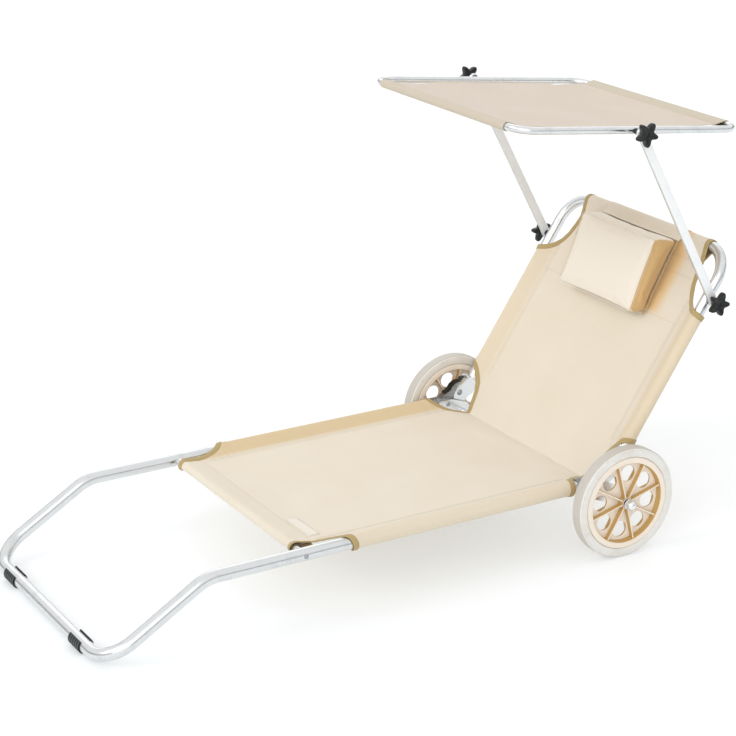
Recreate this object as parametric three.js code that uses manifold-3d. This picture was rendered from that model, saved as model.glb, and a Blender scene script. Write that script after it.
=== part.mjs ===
// Sun lounger with a tilting canopy: a bent tube frame with wheels at the hinge end, a ratchet backrest,
// and a canopy on two arms. Millimetres; X from foot to head, Y to the lounger's right, Z up.
// Each right-hand piece is modelled at positive Y, and its left-hand twin is its mirror image.
import * as THREE from "three";
import { mergeVertices } from "three/addons/utils/BufferGeometryUtils.js";
import Module from "manifold-3d";

const wasm = await Module();
wasm.setup();

// Clearances and shared allowances
const GAP = 0.3; // between pieces that touch
const OVERRUN = 5; // how far a cutting shape runs past what it cuts
const MERGE_TOLERANCE = 1e-4;

// Main frame: one tube, foot crossbar, legs, knees and side rails
const RAIL_SPACING = 580; // between the axes of the side rails
const RAIL_HEIGHT = 148; // of the rails' axes over the ground
const RAIL_RADIUS = 14;
const RAIL_WALL = 1.4;
const KNEE_X = 222; // from the foot crossbar's axis
const KNEE_BEND = 90;
const FOOT_BEND = 72;
const RAIL_END_X = 1157;

// Ribbed clips under the foot crossbar
const CLIP_SPACING = 342;
const CLIP_LENGTH = 50;
const CLIP_WALL = 2;
const CLIP_RIB = 1;
const CLIP_RIBS = 6;
const CLIP_SOLE = 1.3; // how much of the round is flattened underneath
const CLIP_OPENING = 80; // degrees, on top

// Tube at the front of the seat
const SEAT_TUBE_X = 438;
const SEAT_TUBE_RADIUS = 8;
const SEAT_TUBE_WALL = 1.2;
const SCREW_RADIUS = 2.5;
const SCREW_HEAD_RADIUS = 5;
const SCREW_HEAD_HEIGHT = 3;

// Ratchet hinge: the backrest turns about a pin above the rail and in front of the back tube
const BACK_ANGLE = 55.8; // degrees over the ground, as it stands
const MEETING_X = 1195; // where the rails' and the back tubes' axes meet
const HINGE_OFFSET = 21; // from the pin to either axis
const PIN_RADIUS = 4;
const PIN_HEAD_RADIUS = 7.5;
const PIN_HEAD_HEIGHT = 2.6;
const SHELL_THICKNESS = 1.8;
const LOWER_CHEEK = 8; // half width of the lower shell over its cheeks
const CHEEK_CLEARANCE = 0.4; // between the lower shell's cheeks and the upper shell's
const UPPER_REACH = 27; // of the upper shell's plates, below the pin
// The plates' front and rear outline along and across the back, in shares of that reach
const PLATE_FRONT_SHARES = [
  [-0.96, 0.18],
  [-0.45, 0.4],
  [0, 0.46],
  [0.7, 0.45],
  [1.25, 0.38],
];
const PLATE_REAR_SHARES = [
  [0.15, -1.08],
  [-0.37, -0.93],
  [-0.74, -0.67],
  [-0.98, -0.22],
];
const LOWER_SLEEVE = 46; // how far the lower shell runs along the rail
const UPPER_SLEEVE = 23; // and the upper shell along the back tube
const RAIL_RIVET_BACK = 11; // of the rivet, from the rail's end
const BACK_TUBE_START = 47; // along the back tube from the pin
const RATCHET_RADIUS = 19;
const RATCHET_TOOTH = 2.6;
const RATCHET_TEETH = 20;
const RATCHET_HALF_WIDTH = 5;
const HUMP_RADIUS = 26; // rounded housing of the ratchet, about the pin
const HUMP_TOE = 42; // of the housing's toe, in front of the pin
const RAMP_LENGTH = 22; // from the toe down to the rail
const HUMP_RISE_ANGLE = 20; // degrees over level, where the toe runs into the round
const COVER_THICKNESS = 2.4; // black strip on the housing
const COVER_LIP = 39; // of the strip's front end, in front of the pin
const COVER_REAR_ANGLE = 84; // degrees over level, where the strip ends on top
const RIVET_RADIUS = 3;
const RIVET_HEAD_RADIUS = 5.5;
const RIVET_HEAD_HEIGHT = 2;

// Back tube, an inverted U
const BACK_LENGTH = 550; // from the pin to the top bar's axis
const BACK_RADIUS = 12.5;
const BACK_WALL = 1.3;
const BACK_BEND = 70;

// Axle and wheels
const AXLE_X = 1186.5;
const AXLE_SHIFT = -17.5; // the axle stands slid to the left in its brackets
const WHEEL_RADIUS = 125;
const WHEEL_WIDTH = 32;
const WHEEL_OFFSET = 343.5; // from the middle of the axle to the middle of the tyre
const WHEEL_TURNS = { right: 8.6, left: -7.7 }; // degrees, how each wheel stands turned
const AXLE_RADIUS = 6;
const BRACKET_THICKNESS = 2.2;
const BRACKET_LOBE = 22;
const BRACKET_FRONT = 37; // of the saddle's front end, from the rail's end
const BRACKET_EAR = 11; // how far its cheeks reach over the rail's axis
const LOBE_FROM = 60; // degrees, the round of the lobe, from its rear top to its front underside
const LOBE_TO = -112;
const RIM_RADIUS = 104;
const RIM_RING = 14.5;
const RIM_DRAFT_SHARE = 0.07; // of the ring, how far its inner wall leans back
const WEB_THICKNESS = 4;
const HUB_RADIUS = 13;
const HUB_REACH = 16; // from the wheel's middle plane to either end of the hub
const RIB_ROOT_SHARE = 0.9; // of the hub's reach
const RIB_END_SHARE = 0.8; // of half the width
const RIB_COUNT = 8;
const RIB_THICKNESS = 3.6;
const HOLE_RADIUS = 18;
const HOLE_CIRCLE = 63.5;
const WASHER_RADIUS = 10;
const WASHER_THICKNESS = 3;
const CAP_RADIUS = 8.5;
const CAP_LENGTH = 20;
const CAP_SEAT_SHARE = 0.6; // of its length, taken up by the axle
const CAP_FLANGE_SHARE = 0.15;
const CAP_DOME_SHARES = [0.65, 0.92]; // of its radius and length
// Half of the tyre's section: share of its height, share of half its width
const TYRE_SHARES = [
  [0, 0.9],
  [0.5, 1],
  [0.86, 0.88],
  [1, 0.6],
];

// Fabric
const CLOTH = 2; // thickness
const SLEEVE_PLAY = 1; // between a tube and the sleeve round it
const SEAM_REACH = 42; // from a tube's axis to the seam that closes its sleeve
const SEAT_SAG = 7;
const BACK_SAG = 7;
const CUTOUT_LENGTH = 112; // of the seat's front corner cut-outs, along the rails
const CUTOUT_INSET = 28; // of their edge from the rail's axis
const HEM_HALF_WIDTH = 208; // of the front hem at its outer edge
// The cut-outs' edge, as shares of their length from the front tube and of the edge's distance from the middle
const CUTOUT_SHARES = [
  [0.1, 0.97],
  [0.5, 1],
  [0.9, 1.01],
];
const FOLD_FORWARD = 26; // of the fold between seat and back, from where the axes meet
const FOLD_DROP = 9;
const FOLD_CLEARANCE = 56.8; // of the fold's ends from the hinges' cheeks
const NOTCH_REACH = 98; // of the bound notch at each hinge, along either tube
const NOTCH_BOW_SHARE = 0.3; // of its reach, where its curve is pulled to
const NOTCH_BOW = 14; // outwards of the fold's end, where its curve is pulled to
const TOP_CLEARANCE = 6; // of the top hem's ends from where the bar bends
const TOP_CORNER_LENGTH = 150; // of the backrest's cut-away top corners, along the back tube
// Their curve, as shares of that length and of the seam's reach
const TOP_CORNER_SHARES = [
  [0.1, 0.7],
  [0.35, 0.1],
  [0.75, 0],
];

// Head pillow, a wedge that is thicker at its top
const PILLOW_WIDTH = 286;
const PILLOW_HEIGHT = 183;
const PILLOW_THICKNESS = 50;
const PILLOW_WEDGE_SHARE = 0.2; // how much its ends are thicker or thinner than its middle
const PILLOW_LEAN_SHARE = 0.26; // of the thickness, how far its back edges stand above its front edges
const PILLOW_ROUNDING_SHARE = 0.05; // of its faces, drawn in towards their edges
const PILLOW_DRAW_SHARE = 0.03; // how far its sides pull in between the corners
const PILLOW_LAYERS = [-1, -0.45, 0.45, 1]; // of half the thickness, where its sides bend
const PILLOW_CROWN = 6;
const PILLOW_BACK_CROWN = 1.5;
const PILLOW_FROM_TOP = 208; // from the top bar's axis to the pillow's lower edge
const PILLOW_TILT = 8.3; // degrees, its top standing off the backrest
const FLAP_TAIL = 60; // of the flap, down the back
const FLAP_THICKNESS = 1.6;

// Canopy arms
const ARM_LENGTH = 457; // between the pivots
const ARM_FROM_TOP = 112.5; // of the lower pivot, from the top bar's axis
const ARM_OFFSET = 313; // of the arm's middle plane from the middle of the lounger
const ARM_WIDTH = 22;
const ARM_THICKNESS = 9;
const ARM_BEVEL = 2.2;
const ARM_ANGLE = 62.7; // degrees, from the back tube to the arm

// Canopy
const CANOPY_ANGLE = 55; // degrees, from the arm to the canopy's front
const CANOPY_SPACING = 570; // between the side rails' axes
const CANOPY_FRONT = 286; // from the pivots to the front bar's axis
const CANOPY_REAR = 290;
const CANOPY_RADIUS = 8;
const CANOPY_WALL = 1.2;
const CANOPY_BEND = 45;
const CANOPY_JOINT = 40; // from the pivots back to where the halves meet
const SPIGOT_LENGTH = 28;
const CANOPY_CLOTH = 1.6;
const CANOPY_SEAM_REACH = 32;
const CANOPY_SAG = 5;

// Star knobs and studs
const KNOB_RADIUS = 26;
const KNOB_VALLEY_RADIUS = 17;
const KNOB_LOBES = 5;
const KNOB_DEPTH = 14;
const KNOB_BEVEL = 2.5;
const KNOB_DISH_RADIUS = 11;
const KNOB_DISH_DEPTH = 4;
const KNOB_DISH_SHARES = [0.6, 0.75]; // of its radius and depth, where its floor turns up
const KNOB_FULLNESS_SHARE = 0.15; // how much the lobes are fuller than a sine wave
const KNOB_NECK_RADIUS = 9;
const KNOB_NECK = 8;
const STUD_RADIUS = 3;
const STUD_DEPTH = 14; // of its seat in the knob
const SPACER_RADIUS = 8;
// Its stepped outline towards the canopy: share of its length, share of its radius
const SPACER_SHARES = [
  [0, 0.8],
  [0.3, 0.8],
  [0.38, 0.6],
  [0.55, 0.6],
  [0.62, 1],
];

// Facets
const TUBE_SIDES = 12;
const THIN_SIDES = 10;
const ROUND_SIDES = 16;
const WHEEL_SIDES = 32;
const BEND_STEPS = 5;
const KNEE_STEPS = 4;

// Derived places
const RAIL_Y = RAIL_SPACING / 2;
const CLIP_OUTER = RAIL_RADIUS + GAP + CLIP_WALL + CLIP_RIB;
const footZ = CLIP_OUTER - CLIP_SOLE;
const backTilt = THREE.MathUtils.degToRad(BACK_ANGLE);
const pinAlong = HINGE_OFFSET / Math.tan((Math.PI - backTilt) / 2);
const pin = new THREE.Vector3(MEETING_X - pinAlong, 0, RAIL_HEIGHT + HINGE_OFFSET);
const CANOPY_Y = CANOPY_SPACING / 2;
const SEAT_EDGE = RAIL_Y - CUTOUT_INSET;
const UPPER_CHEEK = LOWER_CHEEK + CHEEK_CLEARANCE + SHELL_THICKNESS;
const FOLD_HALF_WIDTH = RAIL_Y - UPPER_CHEEK - FOLD_CLEARANCE;
const TOP_HALF_WIDTH = RAIL_Y + TOP_CLEARANCE - BACK_BEND;

// Materials
const finish = (color, roughness, metalness) => new THREE.MeshStandardMaterial({ color, roughness, metalness });
const aluminium = finish(0xdcdee0, 0.32, 0.9);
const zinc = finish(0xbfc1c6, 0.28, 0.9);
const blackPlastic = finish(0x2b2d2e, 0.55, 0);
const cloth = finish(0xe9dcc3, 0.9, 0);
const canopyCloth = finish(0xdfd2c0, 0.9, 0);
const beigePlastic = finish(0xe0bd82, 0.5, 0);
const paleTyre = finish(0xebe8e3, 0.75, 0);

// Solids: joining and cutting closed geometries
function toSolid(geometry) {
  const bare = geometry.index ? geometry.toNonIndexed() : geometry.clone();
  bare.deleteAttribute("normal");
  bare.deleteAttribute("uv");
  const merged = mergeVertices(bare, MERGE_TOLERANCE);
  return new wasm.Manifold(
    new wasm.Mesh({
      numProp: 3,
      vertProperties: merged.attributes.position.array,
      triVerts: Uint32Array.from(merged.index.array),
    }),
  );
}

function toGeometry(solid) {
  const mesh = solid.getMesh();
  const geometry = new THREE.BufferGeometry();
  geometry.setAttribute("position", new THREE.BufferAttribute(mesh.vertProperties, 3));
  geometry.setIndex(new THREE.BufferAttribute(mesh.triVerts, 1));
  geometry.computeVertexNormals();
  return geometry;
}

const join = (...pieces) => toGeometry(pieces.map(toSolid).reduce((whole, piece) => whole.add(piece)));

const cut = (body, ...tools) =>
  toGeometry(tools.map(toSolid).reduce((rest, tool) => rest.subtract(tool), toSolid(body)));

// A path of straight runs with rounded corners; a run takes one step, a bend several
class BentRoute extends THREE.Curve {
  constructor(corners) {
    super();
    this.stretches = [];
    let from = corners[0].point;
    corners.slice(1, -1).forEach(({ point, bend, steps }, i) => {
      const back = corners[i].point.clone().sub(point).normalize();
      const on = corners[i + 2].point.clone().sub(point).normalize();
      const half = back.angleTo(on) / 2;
      const reach = bend / Math.tan(half);
      const centre = point.clone().addScaledVector(back.clone().add(on).normalize(), bend / Math.sin(half));
      const start = point.clone().addScaledVector(back, reach);
      const end = point.clone().addScaledVector(on, reach);
      this.addLine(from, start);
      this.addArc(centre, start, back.negate(), bend, Math.PI - 2 * half, steps);
      from = end;
    });
    this.addLine(from, corners.at(-1).point);
    this.steps = this.stretches.length;
  }

  addLine(a, b) {
    this.stretches.push((s) => a.clone().lerp(b, s));
  }

  addArc(centre, start, heading, radius, turn, steps) {
    const out = start.clone().sub(centre).normalize();
    for (let k = 0; k < steps; k++)
      this.stretches.push((s) => {
        const angle = (turn * (k + s)) / steps;
        return centre
          .clone()
          .addScaledVector(out, radius * Math.cos(angle))
          .addScaledVector(heading, radius * Math.sin(angle));
      });
  }

  getUtoTmapping(u) {
    return u;
  }

  getPoint(t) {
    const at = Math.min(Math.max(t, 0), 1) * this.steps;
    const index = Math.min(Math.floor(at), this.steps - 1);
    return this.stretches[index](at - index);
  }
}

const corner = (x, y, z, bend, steps = BEND_STEPS) => ({ point: new THREE.Vector3(x, y, z), bend, steps });

function circle(radius, x = 0, y = 0) {
  const shape = new THREE.Shape();
  shape.absarc(x, y, radius, 0, 2 * Math.PI);
  return shape;
}

// A hollow tube along a route, open at both ends
function tubeAlong(route, radius, wall, sides = TUBE_SIDES) {
  const section = circle(radius);
  section.holes.push(circle(radius - wall));
  return new THREE.ExtrudeGeometry(section, {
    extrudePath: route,
    steps: route.steps,
    curveSegments: sides / 2,
  });
}

// A shape drawn in X and Z, given a thickness from y0 to y1
function plate(shape, y0, y1, sides = ROUND_SIDES) {
  const geometry = new THREE.ExtrudeGeometry(shape, {
    depth: y1 - y0,
    bevelEnabled: false,
    curveSegments: sides / 2,
  });
  return geometry.rotateX(Math.PI / 2).translate(0, y1, 0);
}

// A round bar along Y
const bar = (radius, x, z, y0, y1, sides = ROUND_SIDES) => plate(circle(radius, x, z), y0, y1, sides);

// A round bar along X
const barAlongX = (radius, y, z, x0, x1, sides = ROUND_SIDES) =>
  new THREE.CylinderGeometry(radius, radius, x1 - x0, sides)
    .rotateZ(Math.PI / 2)
    .translate((x0 + x1) / 2, y, z);

const block = (x0, x1, y0, y1, z0, z1) =>
  new THREE.BoxGeometry(x1 - x0, y1 - y0, z1 - z0).translate((x0 + x1) / 2, (y0 + y1) / 2, (z0 + z1) / 2);

// A solid of revolution about Y from [radius, y] pairs, ordered from low y to high y on the outside
function turned(profile, sides = ROUND_SIDES) {
  return new THREE.LatheGeometry(
    profile.map(([r, y]) => new THREE.Vector2(r, y)),
    sides,
  );
}

function polygon(points) {
  return new THREE.Shape(points.map(([x, y]) => new THREE.Vector2(x, y)));
}

// A thin closed sheet over a grid: its middle height is a function of x and y
function sheetOver(xs, ys, height, thickness) {
  const position = [];
  const index = [];
  const rows = xs.length;
  const columns = ys.length;
  const at = (side, i, j) => (side * rows + i) * columns + j;
  for (const side of [-1, 1])
    for (const x of xs) for (const y of ys) position.push(x, y, height(x, y) + (side * thickness) / 2);
  const quad = (a, b, c, d) => index.push(a, b, c, a, c, d);
  for (let i = 0; i < rows - 1; i++)
    for (let j = 0; j < columns - 1; j++) {
      quad(at(1, i, j), at(1, i + 1, j), at(1, i + 1, j + 1), at(1, i, j + 1));
      quad(at(0, i, j), at(0, i, j + 1), at(0, i + 1, j + 1), at(0, i + 1, j));
    }
  for (let i = 0; i < rows - 1; i++) {
    quad(at(0, i, 0), at(0, i + 1, 0), at(1, i + 1, 0), at(1, i, 0));
    quad(at(0, i + 1, columns - 1), at(0, i, columns - 1), at(1, i, columns - 1), at(1, i + 1, columns - 1));
  }
  for (let j = 0; j < columns - 1; j++) {
    quad(at(0, 0, j + 1), at(0, 0, j), at(1, 0, j), at(1, 0, j + 1));
    quad(at(0, rows - 1, j), at(0, rows - 1, j + 1), at(1, rows - 1, j + 1), at(1, rows - 1, j));
  }
  const geometry = new THREE.BufferGeometry();
  geometry.setAttribute("position", new THREE.Float32BufferAttribute(position, 3));
  geometry.setIndex(index);
  return geometry;
}

const spread = (from, to, steps) => Array.from({ length: steps + 1 }, (_, i) => from + ((to - from) * i) / steps);

// Section of a sewn sleeve: a loop of cloth round a tube that narrows to its seam at distance reach,
// towards negative first coordinate; the tube's axis is at the origin
function sleeveSection(tubeRadius, thickness, reach) {
  const inner = tubeRadius + SLEEVE_PLAY;
  const outer = inner + thickness;
  const lip = thickness / 2;
  const leave = Math.PI - Math.acos((outer - lip) / reach);
  const section = new THREE.Shape();
  section.moveTo(-reach, -lip);
  section.absarc(0, 0, outer, -leave, leave);
  section.lineTo(-reach, lip);
  section.closePath();
  section.holes.push(circle(inner));
  return section;
}

// Moves a section drawn in (towards the tube, up) to run along X at +Y, or along Y towards +X or -X
function sleeveAlongX(section, y, z, x0, x1) {
  const geometry = new THREE.ExtrudeGeometry(section, {
    depth: x1 - x0,
    bevelEnabled: false,
    curveSegments: TUBE_SIDES / 2,
  });
  return geometry.rotateZ(Math.PI / 2).rotateY(Math.PI / 2).translate(x0, y, z);
}

function sleeveAlongY(section, x, z, halfWidth, towards) {
  const geometry = plate(section, -halfWidth, halfWidth, TUBE_SIDES);
  if (towards < 0) geometry.rotateZ(Math.PI);
  return geometry.translate(x, 0, z);
}

const mirrored = (geometry) => {
  const solid = toSolid(geometry).mirror([0, 1, 0]);
  return toGeometry(solid);
};

// Assembly helpers
const lounger = new THREE.Group();
const seatGroup = new THREE.Group();
const axleGroup = new THREE.Group();
const backGroup = new THREE.Group();
const armGroup = new THREE.Group();
const canopyGroup = new THREE.Group();

function place(group, name, geometry, material) {
  const mesh = new THREE.Mesh(geometry, material);
  mesh.name = name;
  group.add(mesh);
  return mesh;
}

function placePair(group, name, geometry, material) {
  place(group, name + "_right", geometry, material);
  place(group, name + "_left", geometry, material).scale.y = -1;
}

// Main frame tube
function mainFrame() {
  const route = new BentRoute([
    corner(RAIL_END_X, -RAIL_Y, RAIL_HEIGHT),
    corner(KNEE_X, -RAIL_Y, RAIL_HEIGHT, KNEE_BEND, KNEE_STEPS),
    corner(0, -RAIL_Y, footZ, FOOT_BEND),
    corner(0, RAIL_Y, footZ, FOOT_BEND),
    corner(KNEE_X, RAIL_Y, RAIL_HEIGHT, KNEE_BEND, KNEE_STEPS),
    corner(RAIL_END_X, RAIL_Y, RAIL_HEIGHT),
  ]);
  const reach = RAIL_Y + RAIL_RADIUS + OVERRUN;
  const screwHole = bar(SCREW_RADIUS + GAP, SEAT_TUBE_X, RAIL_HEIGHT, -reach, reach, THIN_SIDES);
  const rivetHole = bar(RIVET_RADIUS + GAP, rivetX, RAIL_HEIGHT, -reach, reach, THIN_SIDES);
  return cut(tubeAlong(route, RAIL_RADIUS, RAIL_WALL), screwHole, rivetHole);
}

// Foot clip: a shell round the underside of the crossbar, with ribs round it
function footClip() {
  const open = THREE.MathUtils.degToRad(CLIP_OPENING / 2);
  const from = Math.PI / 2 + open;
  const to = from + 2 * (Math.PI - open);
  const shell = (inner, outer, y0, y1) => {
    const section = new THREE.Shape();
    section.absarc(0, 0, outer, from, to);
    section.absarc(0, 0, inner, to, from, true);
    section.closePath();
    return plate(section, y0, y1, TUBE_SIDES);
  };
  const base = CLIP_OUTER - CLIP_RIB;
  const start = CLIP_SPACING / 2 - CLIP_LENGTH / 2;
  const pitch = CLIP_LENGTH / (2 * CLIP_RIBS - 1);
  const ribs = Array.from({ length: CLIP_RIBS }, (_, i) =>
    shell(base - CLIP_WALL / 2, CLIP_OUTER, start + 2 * i * pitch, start + (2 * i + 1) * pitch),
  );
  const body = shell(RAIL_RADIUS + GAP, base, start, start + CLIP_LENGTH);
  const ground = block(-2 * CLIP_OUTER, 2 * CLIP_OUTER, 0, RAIL_Y, -2 * CLIP_OUTER, -footZ);
  return cut(join(body, ...ribs), ground).translate(0, 0, footZ);
}

function seatTube() {
  const half = RAIL_Y - RAIL_RADIUS - GAP;
  const section = circle(SEAT_TUBE_RADIUS);
  section.holes.push(circle(SEAT_TUBE_RADIUS - SEAT_TUBE_WALL));
  return plate(section, -half, half, TUBE_SIDES).translate(SEAT_TUBE_X, 0, RAIL_HEIGHT);
}

// A headed pin along Y: its head's underside is at y, and its shank runs inwards
function headedPin(radius, headRadius, headHeight, shank) {
  return turned(
    [
      [0, -shank],
      [radius, -shank],
      [radius, 0],
      [headRadius, 0],
      [headRadius / 2, headHeight],
      [0, headHeight],
    ],
    THIN_SIDES,
  );
}

function seatScrew() {
  const shank = 2 * RAIL_RADIUS + SEAT_TUBE_RADIUS;
  return headedPin(SCREW_RADIUS, SCREW_HEAD_RADIUS, SCREW_HEAD_HEIGHT, shank).translate(
    SEAT_TUBE_X,
    RAIL_Y + RAIL_RADIUS + GAP,
    RAIL_HEIGHT,
  );
}

// A rivet with a head on both sides, centred on y = 0
function rivet(radius, headRadius, headHeight, halfGrip) {
  return turned(
    [
      [0, -halfGrip - headHeight],
      [headRadius / 2, -halfGrip - headHeight],
      [headRadius, -halfGrip],
      [radius, -halfGrip],
      [radius, halfGrip],
      [headRadius, halfGrip],
      [headRadius / 2, halfGrip + headHeight],
      [0, halfGrip + headHeight],
    ],
    THIN_SIDES,
  );
}

// Lower hinge shell: a sleeve on the rail's end that widens into two cheeks round the ratchet wheel,
// with the rounded pawl housing in front of the pin
const railSleeve = RAIL_RADIUS + GAP + SHELL_THICKNESS;
const rivetX = RAIL_END_X - RAIL_RIVET_BACK;
const humpRise = THREE.MathUtils.degToRad(HUMP_RISE_ANGLE);
const rampStart = new THREE.Vector2(-HUMP_RADIUS * Math.cos(humpRise), HUMP_RADIUS * Math.sin(humpRise));
const rampDirection = new THREE.Vector2(-HUMP_TOE, 0).sub(rampStart).normalize();

function lowerShell() {
  const sleeve = barAlongX(railSleeve, 0, RAIL_HEIGHT, RAIL_END_X - LOWER_SLEEVE, RAIL_END_X);
  const ramp = polygon([
    [pin.x - HUMP_TOE - RAMP_LENGTH, RAIL_HEIGHT + RAIL_RADIUS / 2],
    [RAIL_END_X + SHELL_THICKNESS, RAIL_HEIGHT],
    [pin.x, pin.z],
    [pin.x + rampStart.x, pin.z + rampStart.y],
    [pin.x - HUMP_TOE, pin.z],
  ]);
  const cheeks = join(
    bar(HUMP_RADIUS, pin.x, pin.z, -LOWER_CHEEK, LOWER_CHEEK),
    plate(ramp, -LOWER_CHEEK, LOWER_CHEEK),
  );
  const inside = LOWER_CHEEK - SHELL_THICKNESS;
  const hollow = join(
    bar(HUMP_RADIUS - SHELL_THICKNESS, pin.x, pin.z, -inside, inside),
    block(pin.x, pin.x + 2 * HUMP_RADIUS, -inside, inside, pin.z - 2 * HUMP_RADIUS, pin.z + HUMP_RADIUS / 2),
  );
  const bore = barAlongX(
    RAIL_RADIUS + GAP,
    0,
    RAIL_HEIGHT,
    RAIL_END_X - LOWER_SLEEVE - OVERRUN,
    RAIL_END_X + GAP,
  );
  const pinHole = bar(PIN_RADIUS + GAP, pin.x, pin.z, -2 * LOWER_CHEEK, 2 * LOWER_CHEEK);
  const rivetHole = bar(RIVET_RADIUS + GAP, rivetX, RAIL_HEIGHT, -2 * railSleeve, 2 * railSleeve, THIN_SIDES);
  return cut(join(sleeve, cut(cheeks, hollow)), bore, pinHole, rivetHole).translate(0, RAIL_Y, 0);
}

// Black strip over the housing, with a lip along its toe
function hingeCover() {
  const inner = HUMP_RADIUS + GAP;
  const outer = inner + COVER_THICKNESS;
  const rear = THREE.MathUtils.degToRad(COVER_REAR_ANGLE);
  const front = Math.PI - humpRise;
  const off = new THREE.Vector2(rampDirection.y, -rampDirection.x);
  const along = (COVER_LIP + rampStart.x) / -rampDirection.x;
  const lip = rampStart.clone().addScaledVector(rampDirection, along).addScaledVector(off, GAP);
  const lipTop = lip.clone().addScaledVector(off, COVER_THICKNESS);
  const section = new THREE.Shape();
  section.absarc(0, 0, outer, rear, front - COVER_THICKNESS / outer);
  section.lineTo(lipTop.x, lipTop.y);
  section.lineTo(lip.x, lip.y);
  section.absarc(0, 0, inner, front, rear, true);
  section.closePath();
  return plate(section, -LOWER_CHEEK, LOWER_CHEEK).translate(pin.x, RAIL_Y, pin.z);
}

function railRivet() {
  const grip = railSleeve + BRACKET_THICKNESS + 2 * GAP;
  return rivet(RIVET_RADIUS, RIVET_HEAD_RADIUS, RIVET_HEAD_HEIGHT, grip).translate(rivetX, RAIL_Y, RAIL_HEIGHT);
}

// Axle bracket: a saddle under the rail's sleeve whose cheeks reach back and down round the axle
function axleBracket() {
  const inside = railSleeve + GAP;
  const outside = inside + BRACKET_THICKNESS;
  const front = RAIL_END_X - BRACKET_FRONT;
  const top = RAIL_HEIGHT + BRACKET_EAR;
  const seat = RAIL_HEIGHT - inside;
  const far = AXLE_X + 2 * BRACKET_LOBE;
  const cheek = new THREE.Shape();
  cheek.moveTo(front, top);
  cheek.lineTo(RAIL_END_X - GAP, top);
  cheek.absarc(
    AXLE_X,
    WHEEL_RADIUS,
    BRACKET_LOBE,
    THREE.MathUtils.degToRad(LOBE_FROM),
    THREE.MathUtils.degToRad(LOBE_TO),
    true,
  );
  cheek.lineTo(front, seat - BRACKET_THICKNESS);
  cheek.closePath();
  return cut(
    plate(cheek, -outside, outside),
    block(front - OVERRUN, far, -inside, inside, seat, top + OVERRUN),
    block(RAIL_END_X - BRACKET_LOBE / 2, far, -inside, inside, 0, seat + OVERRUN),
    bar(AXLE_RADIUS + GAP, AXLE_X, WHEEL_RADIUS, -2 * outside, 2 * outside),
    bar(RIVET_RADIUS + GAP, rivetX, RAIL_HEIGHT, -2 * outside, 2 * outside, THIN_SIDES),
  ).translate(0, RAIL_Y, 0);
}

// Axle pieces and wheels, about the axle and from its middle
const hubOuter = WHEEL_OFFSET + HUB_REACH;
const axleEnd = hubOuter + WASHER_THICKNESS + GAP + CAP_LENGTH * CAP_SEAT_SHARE;

const axle = () => bar(AXLE_RADIUS, 0, 0, -axleEnd, axleEnd);

// A ring about the line along Y at (x, z)
function ring(outer, inner, y0, y1, sides = TUBE_SIDES) {
  return turned(
    [
      [inner, y0],
      [outer, y0],
      [outer, y1],
      [inner, y1],
      [inner, y0],
    ],
    sides,
  );
}

const axleWasher = () =>
  ring(WASHER_RADIUS, AXLE_RADIUS + GAP, hubOuter + GAP, hubOuter + WASHER_THICKNESS);

// Domed cap pushed on the axle's end
function axleCap() {
  const start = hubOuter + WASHER_THICKNESS + GAP;
  const seat = axleEnd + GAP;
  const [domeRadius, domeLength] = CAP_DOME_SHARES;
  return turned([
    [AXLE_RADIUS + GAP, start],
    [WASHER_RADIUS, start],
    [CAP_RADIUS, start + CAP_LENGTH * CAP_FLANGE_SHARE],
    [CAP_RADIUS, start + CAP_LENGTH * CAP_SEAT_SHARE],
    [CAP_RADIUS * domeRadius, start + CAP_LENGTH * domeLength],
    [0, start + CAP_LENGTH],
    [0, seat],
    [AXLE_RADIUS + GAP, seat],
    [AXLE_RADIUS + GAP, start],
  ]);
}

// Wheel rim: a ring, a web with round holes, a hub, and radial ribs on both faces
function wheelRim() {
  const half = WHEEL_WIDTH / 2 - GAP;
  const web = WEB_THICKNESS / 2;
  const ringInner = RIM_RADIUS - RIM_RING;
  const lip = ringInner + RIM_RING * RIM_DRAFT_SHARE;
  const inHub = (AXLE_RADIUS + HUB_RADIUS) / 2;
  const disc = turned(
    [
      [inHub, -web],
      [ringInner, -web],
      [lip, -half],
      [RIM_RADIUS, -half],
      [RIM_RADIUS, half],
      [lip, half],
      [ringInner, web],
      [inHub, web],
      [inHub, -web],
    ],
    WHEEL_SIDES,
  );
  const hub = ring(HUB_RADIUS, AXLE_RADIUS + GAP, -HUB_REACH, HUB_REACH, ROUND_SIDES);
  const rib = () => {
    const side = polygon([
      [inHub, HUB_REACH * RIB_ROOT_SHARE],
      [lip, half * RIB_END_SHARE],
      [lip, -half * RIB_END_SHARE],
      [inHub, -HUB_REACH * RIB_ROOT_SHARE],
    ]);
    const geometry = new THREE.ExtrudeGeometry(side, { depth: RIB_THICKNESS, bevelEnabled: false });
    return geometry.translate(0, 0, -RIB_THICKNESS / 2);
  };
  const ribs = [];
  const holes = [];
  for (let i = 0; i < RIB_COUNT; i++) {
    const turn = (2 * Math.PI * i) / RIB_COUNT;
    ribs.push(rib().rotateY(turn + Math.PI / RIB_COUNT));
    holes.push(
      bar(HOLE_RADIUS, HOLE_CIRCLE * Math.cos(turn), HOLE_CIRCLE * Math.sin(turn), -WHEEL_WIDTH, WHEEL_WIDTH),
    );
  }
  return cut(join(disc, hub, ...ribs), ...holes);
}

// Tyre: flat tread, rounded shoulders
function tyre() {
  const half = WHEEL_WIDTH / 2;
  const inner = RIM_RADIUS + GAP;
  const height = WHEEL_RADIUS - inner;
  const upper = TYRE_SHARES.map(([rise, width]) => [inner + height * rise, half * width]);
  const lower = upper.map(([r, y]) => [r, -y]);
  return turned([...lower, ...upper.reverse(), lower[0]], WHEEL_SIDES);
}

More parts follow.
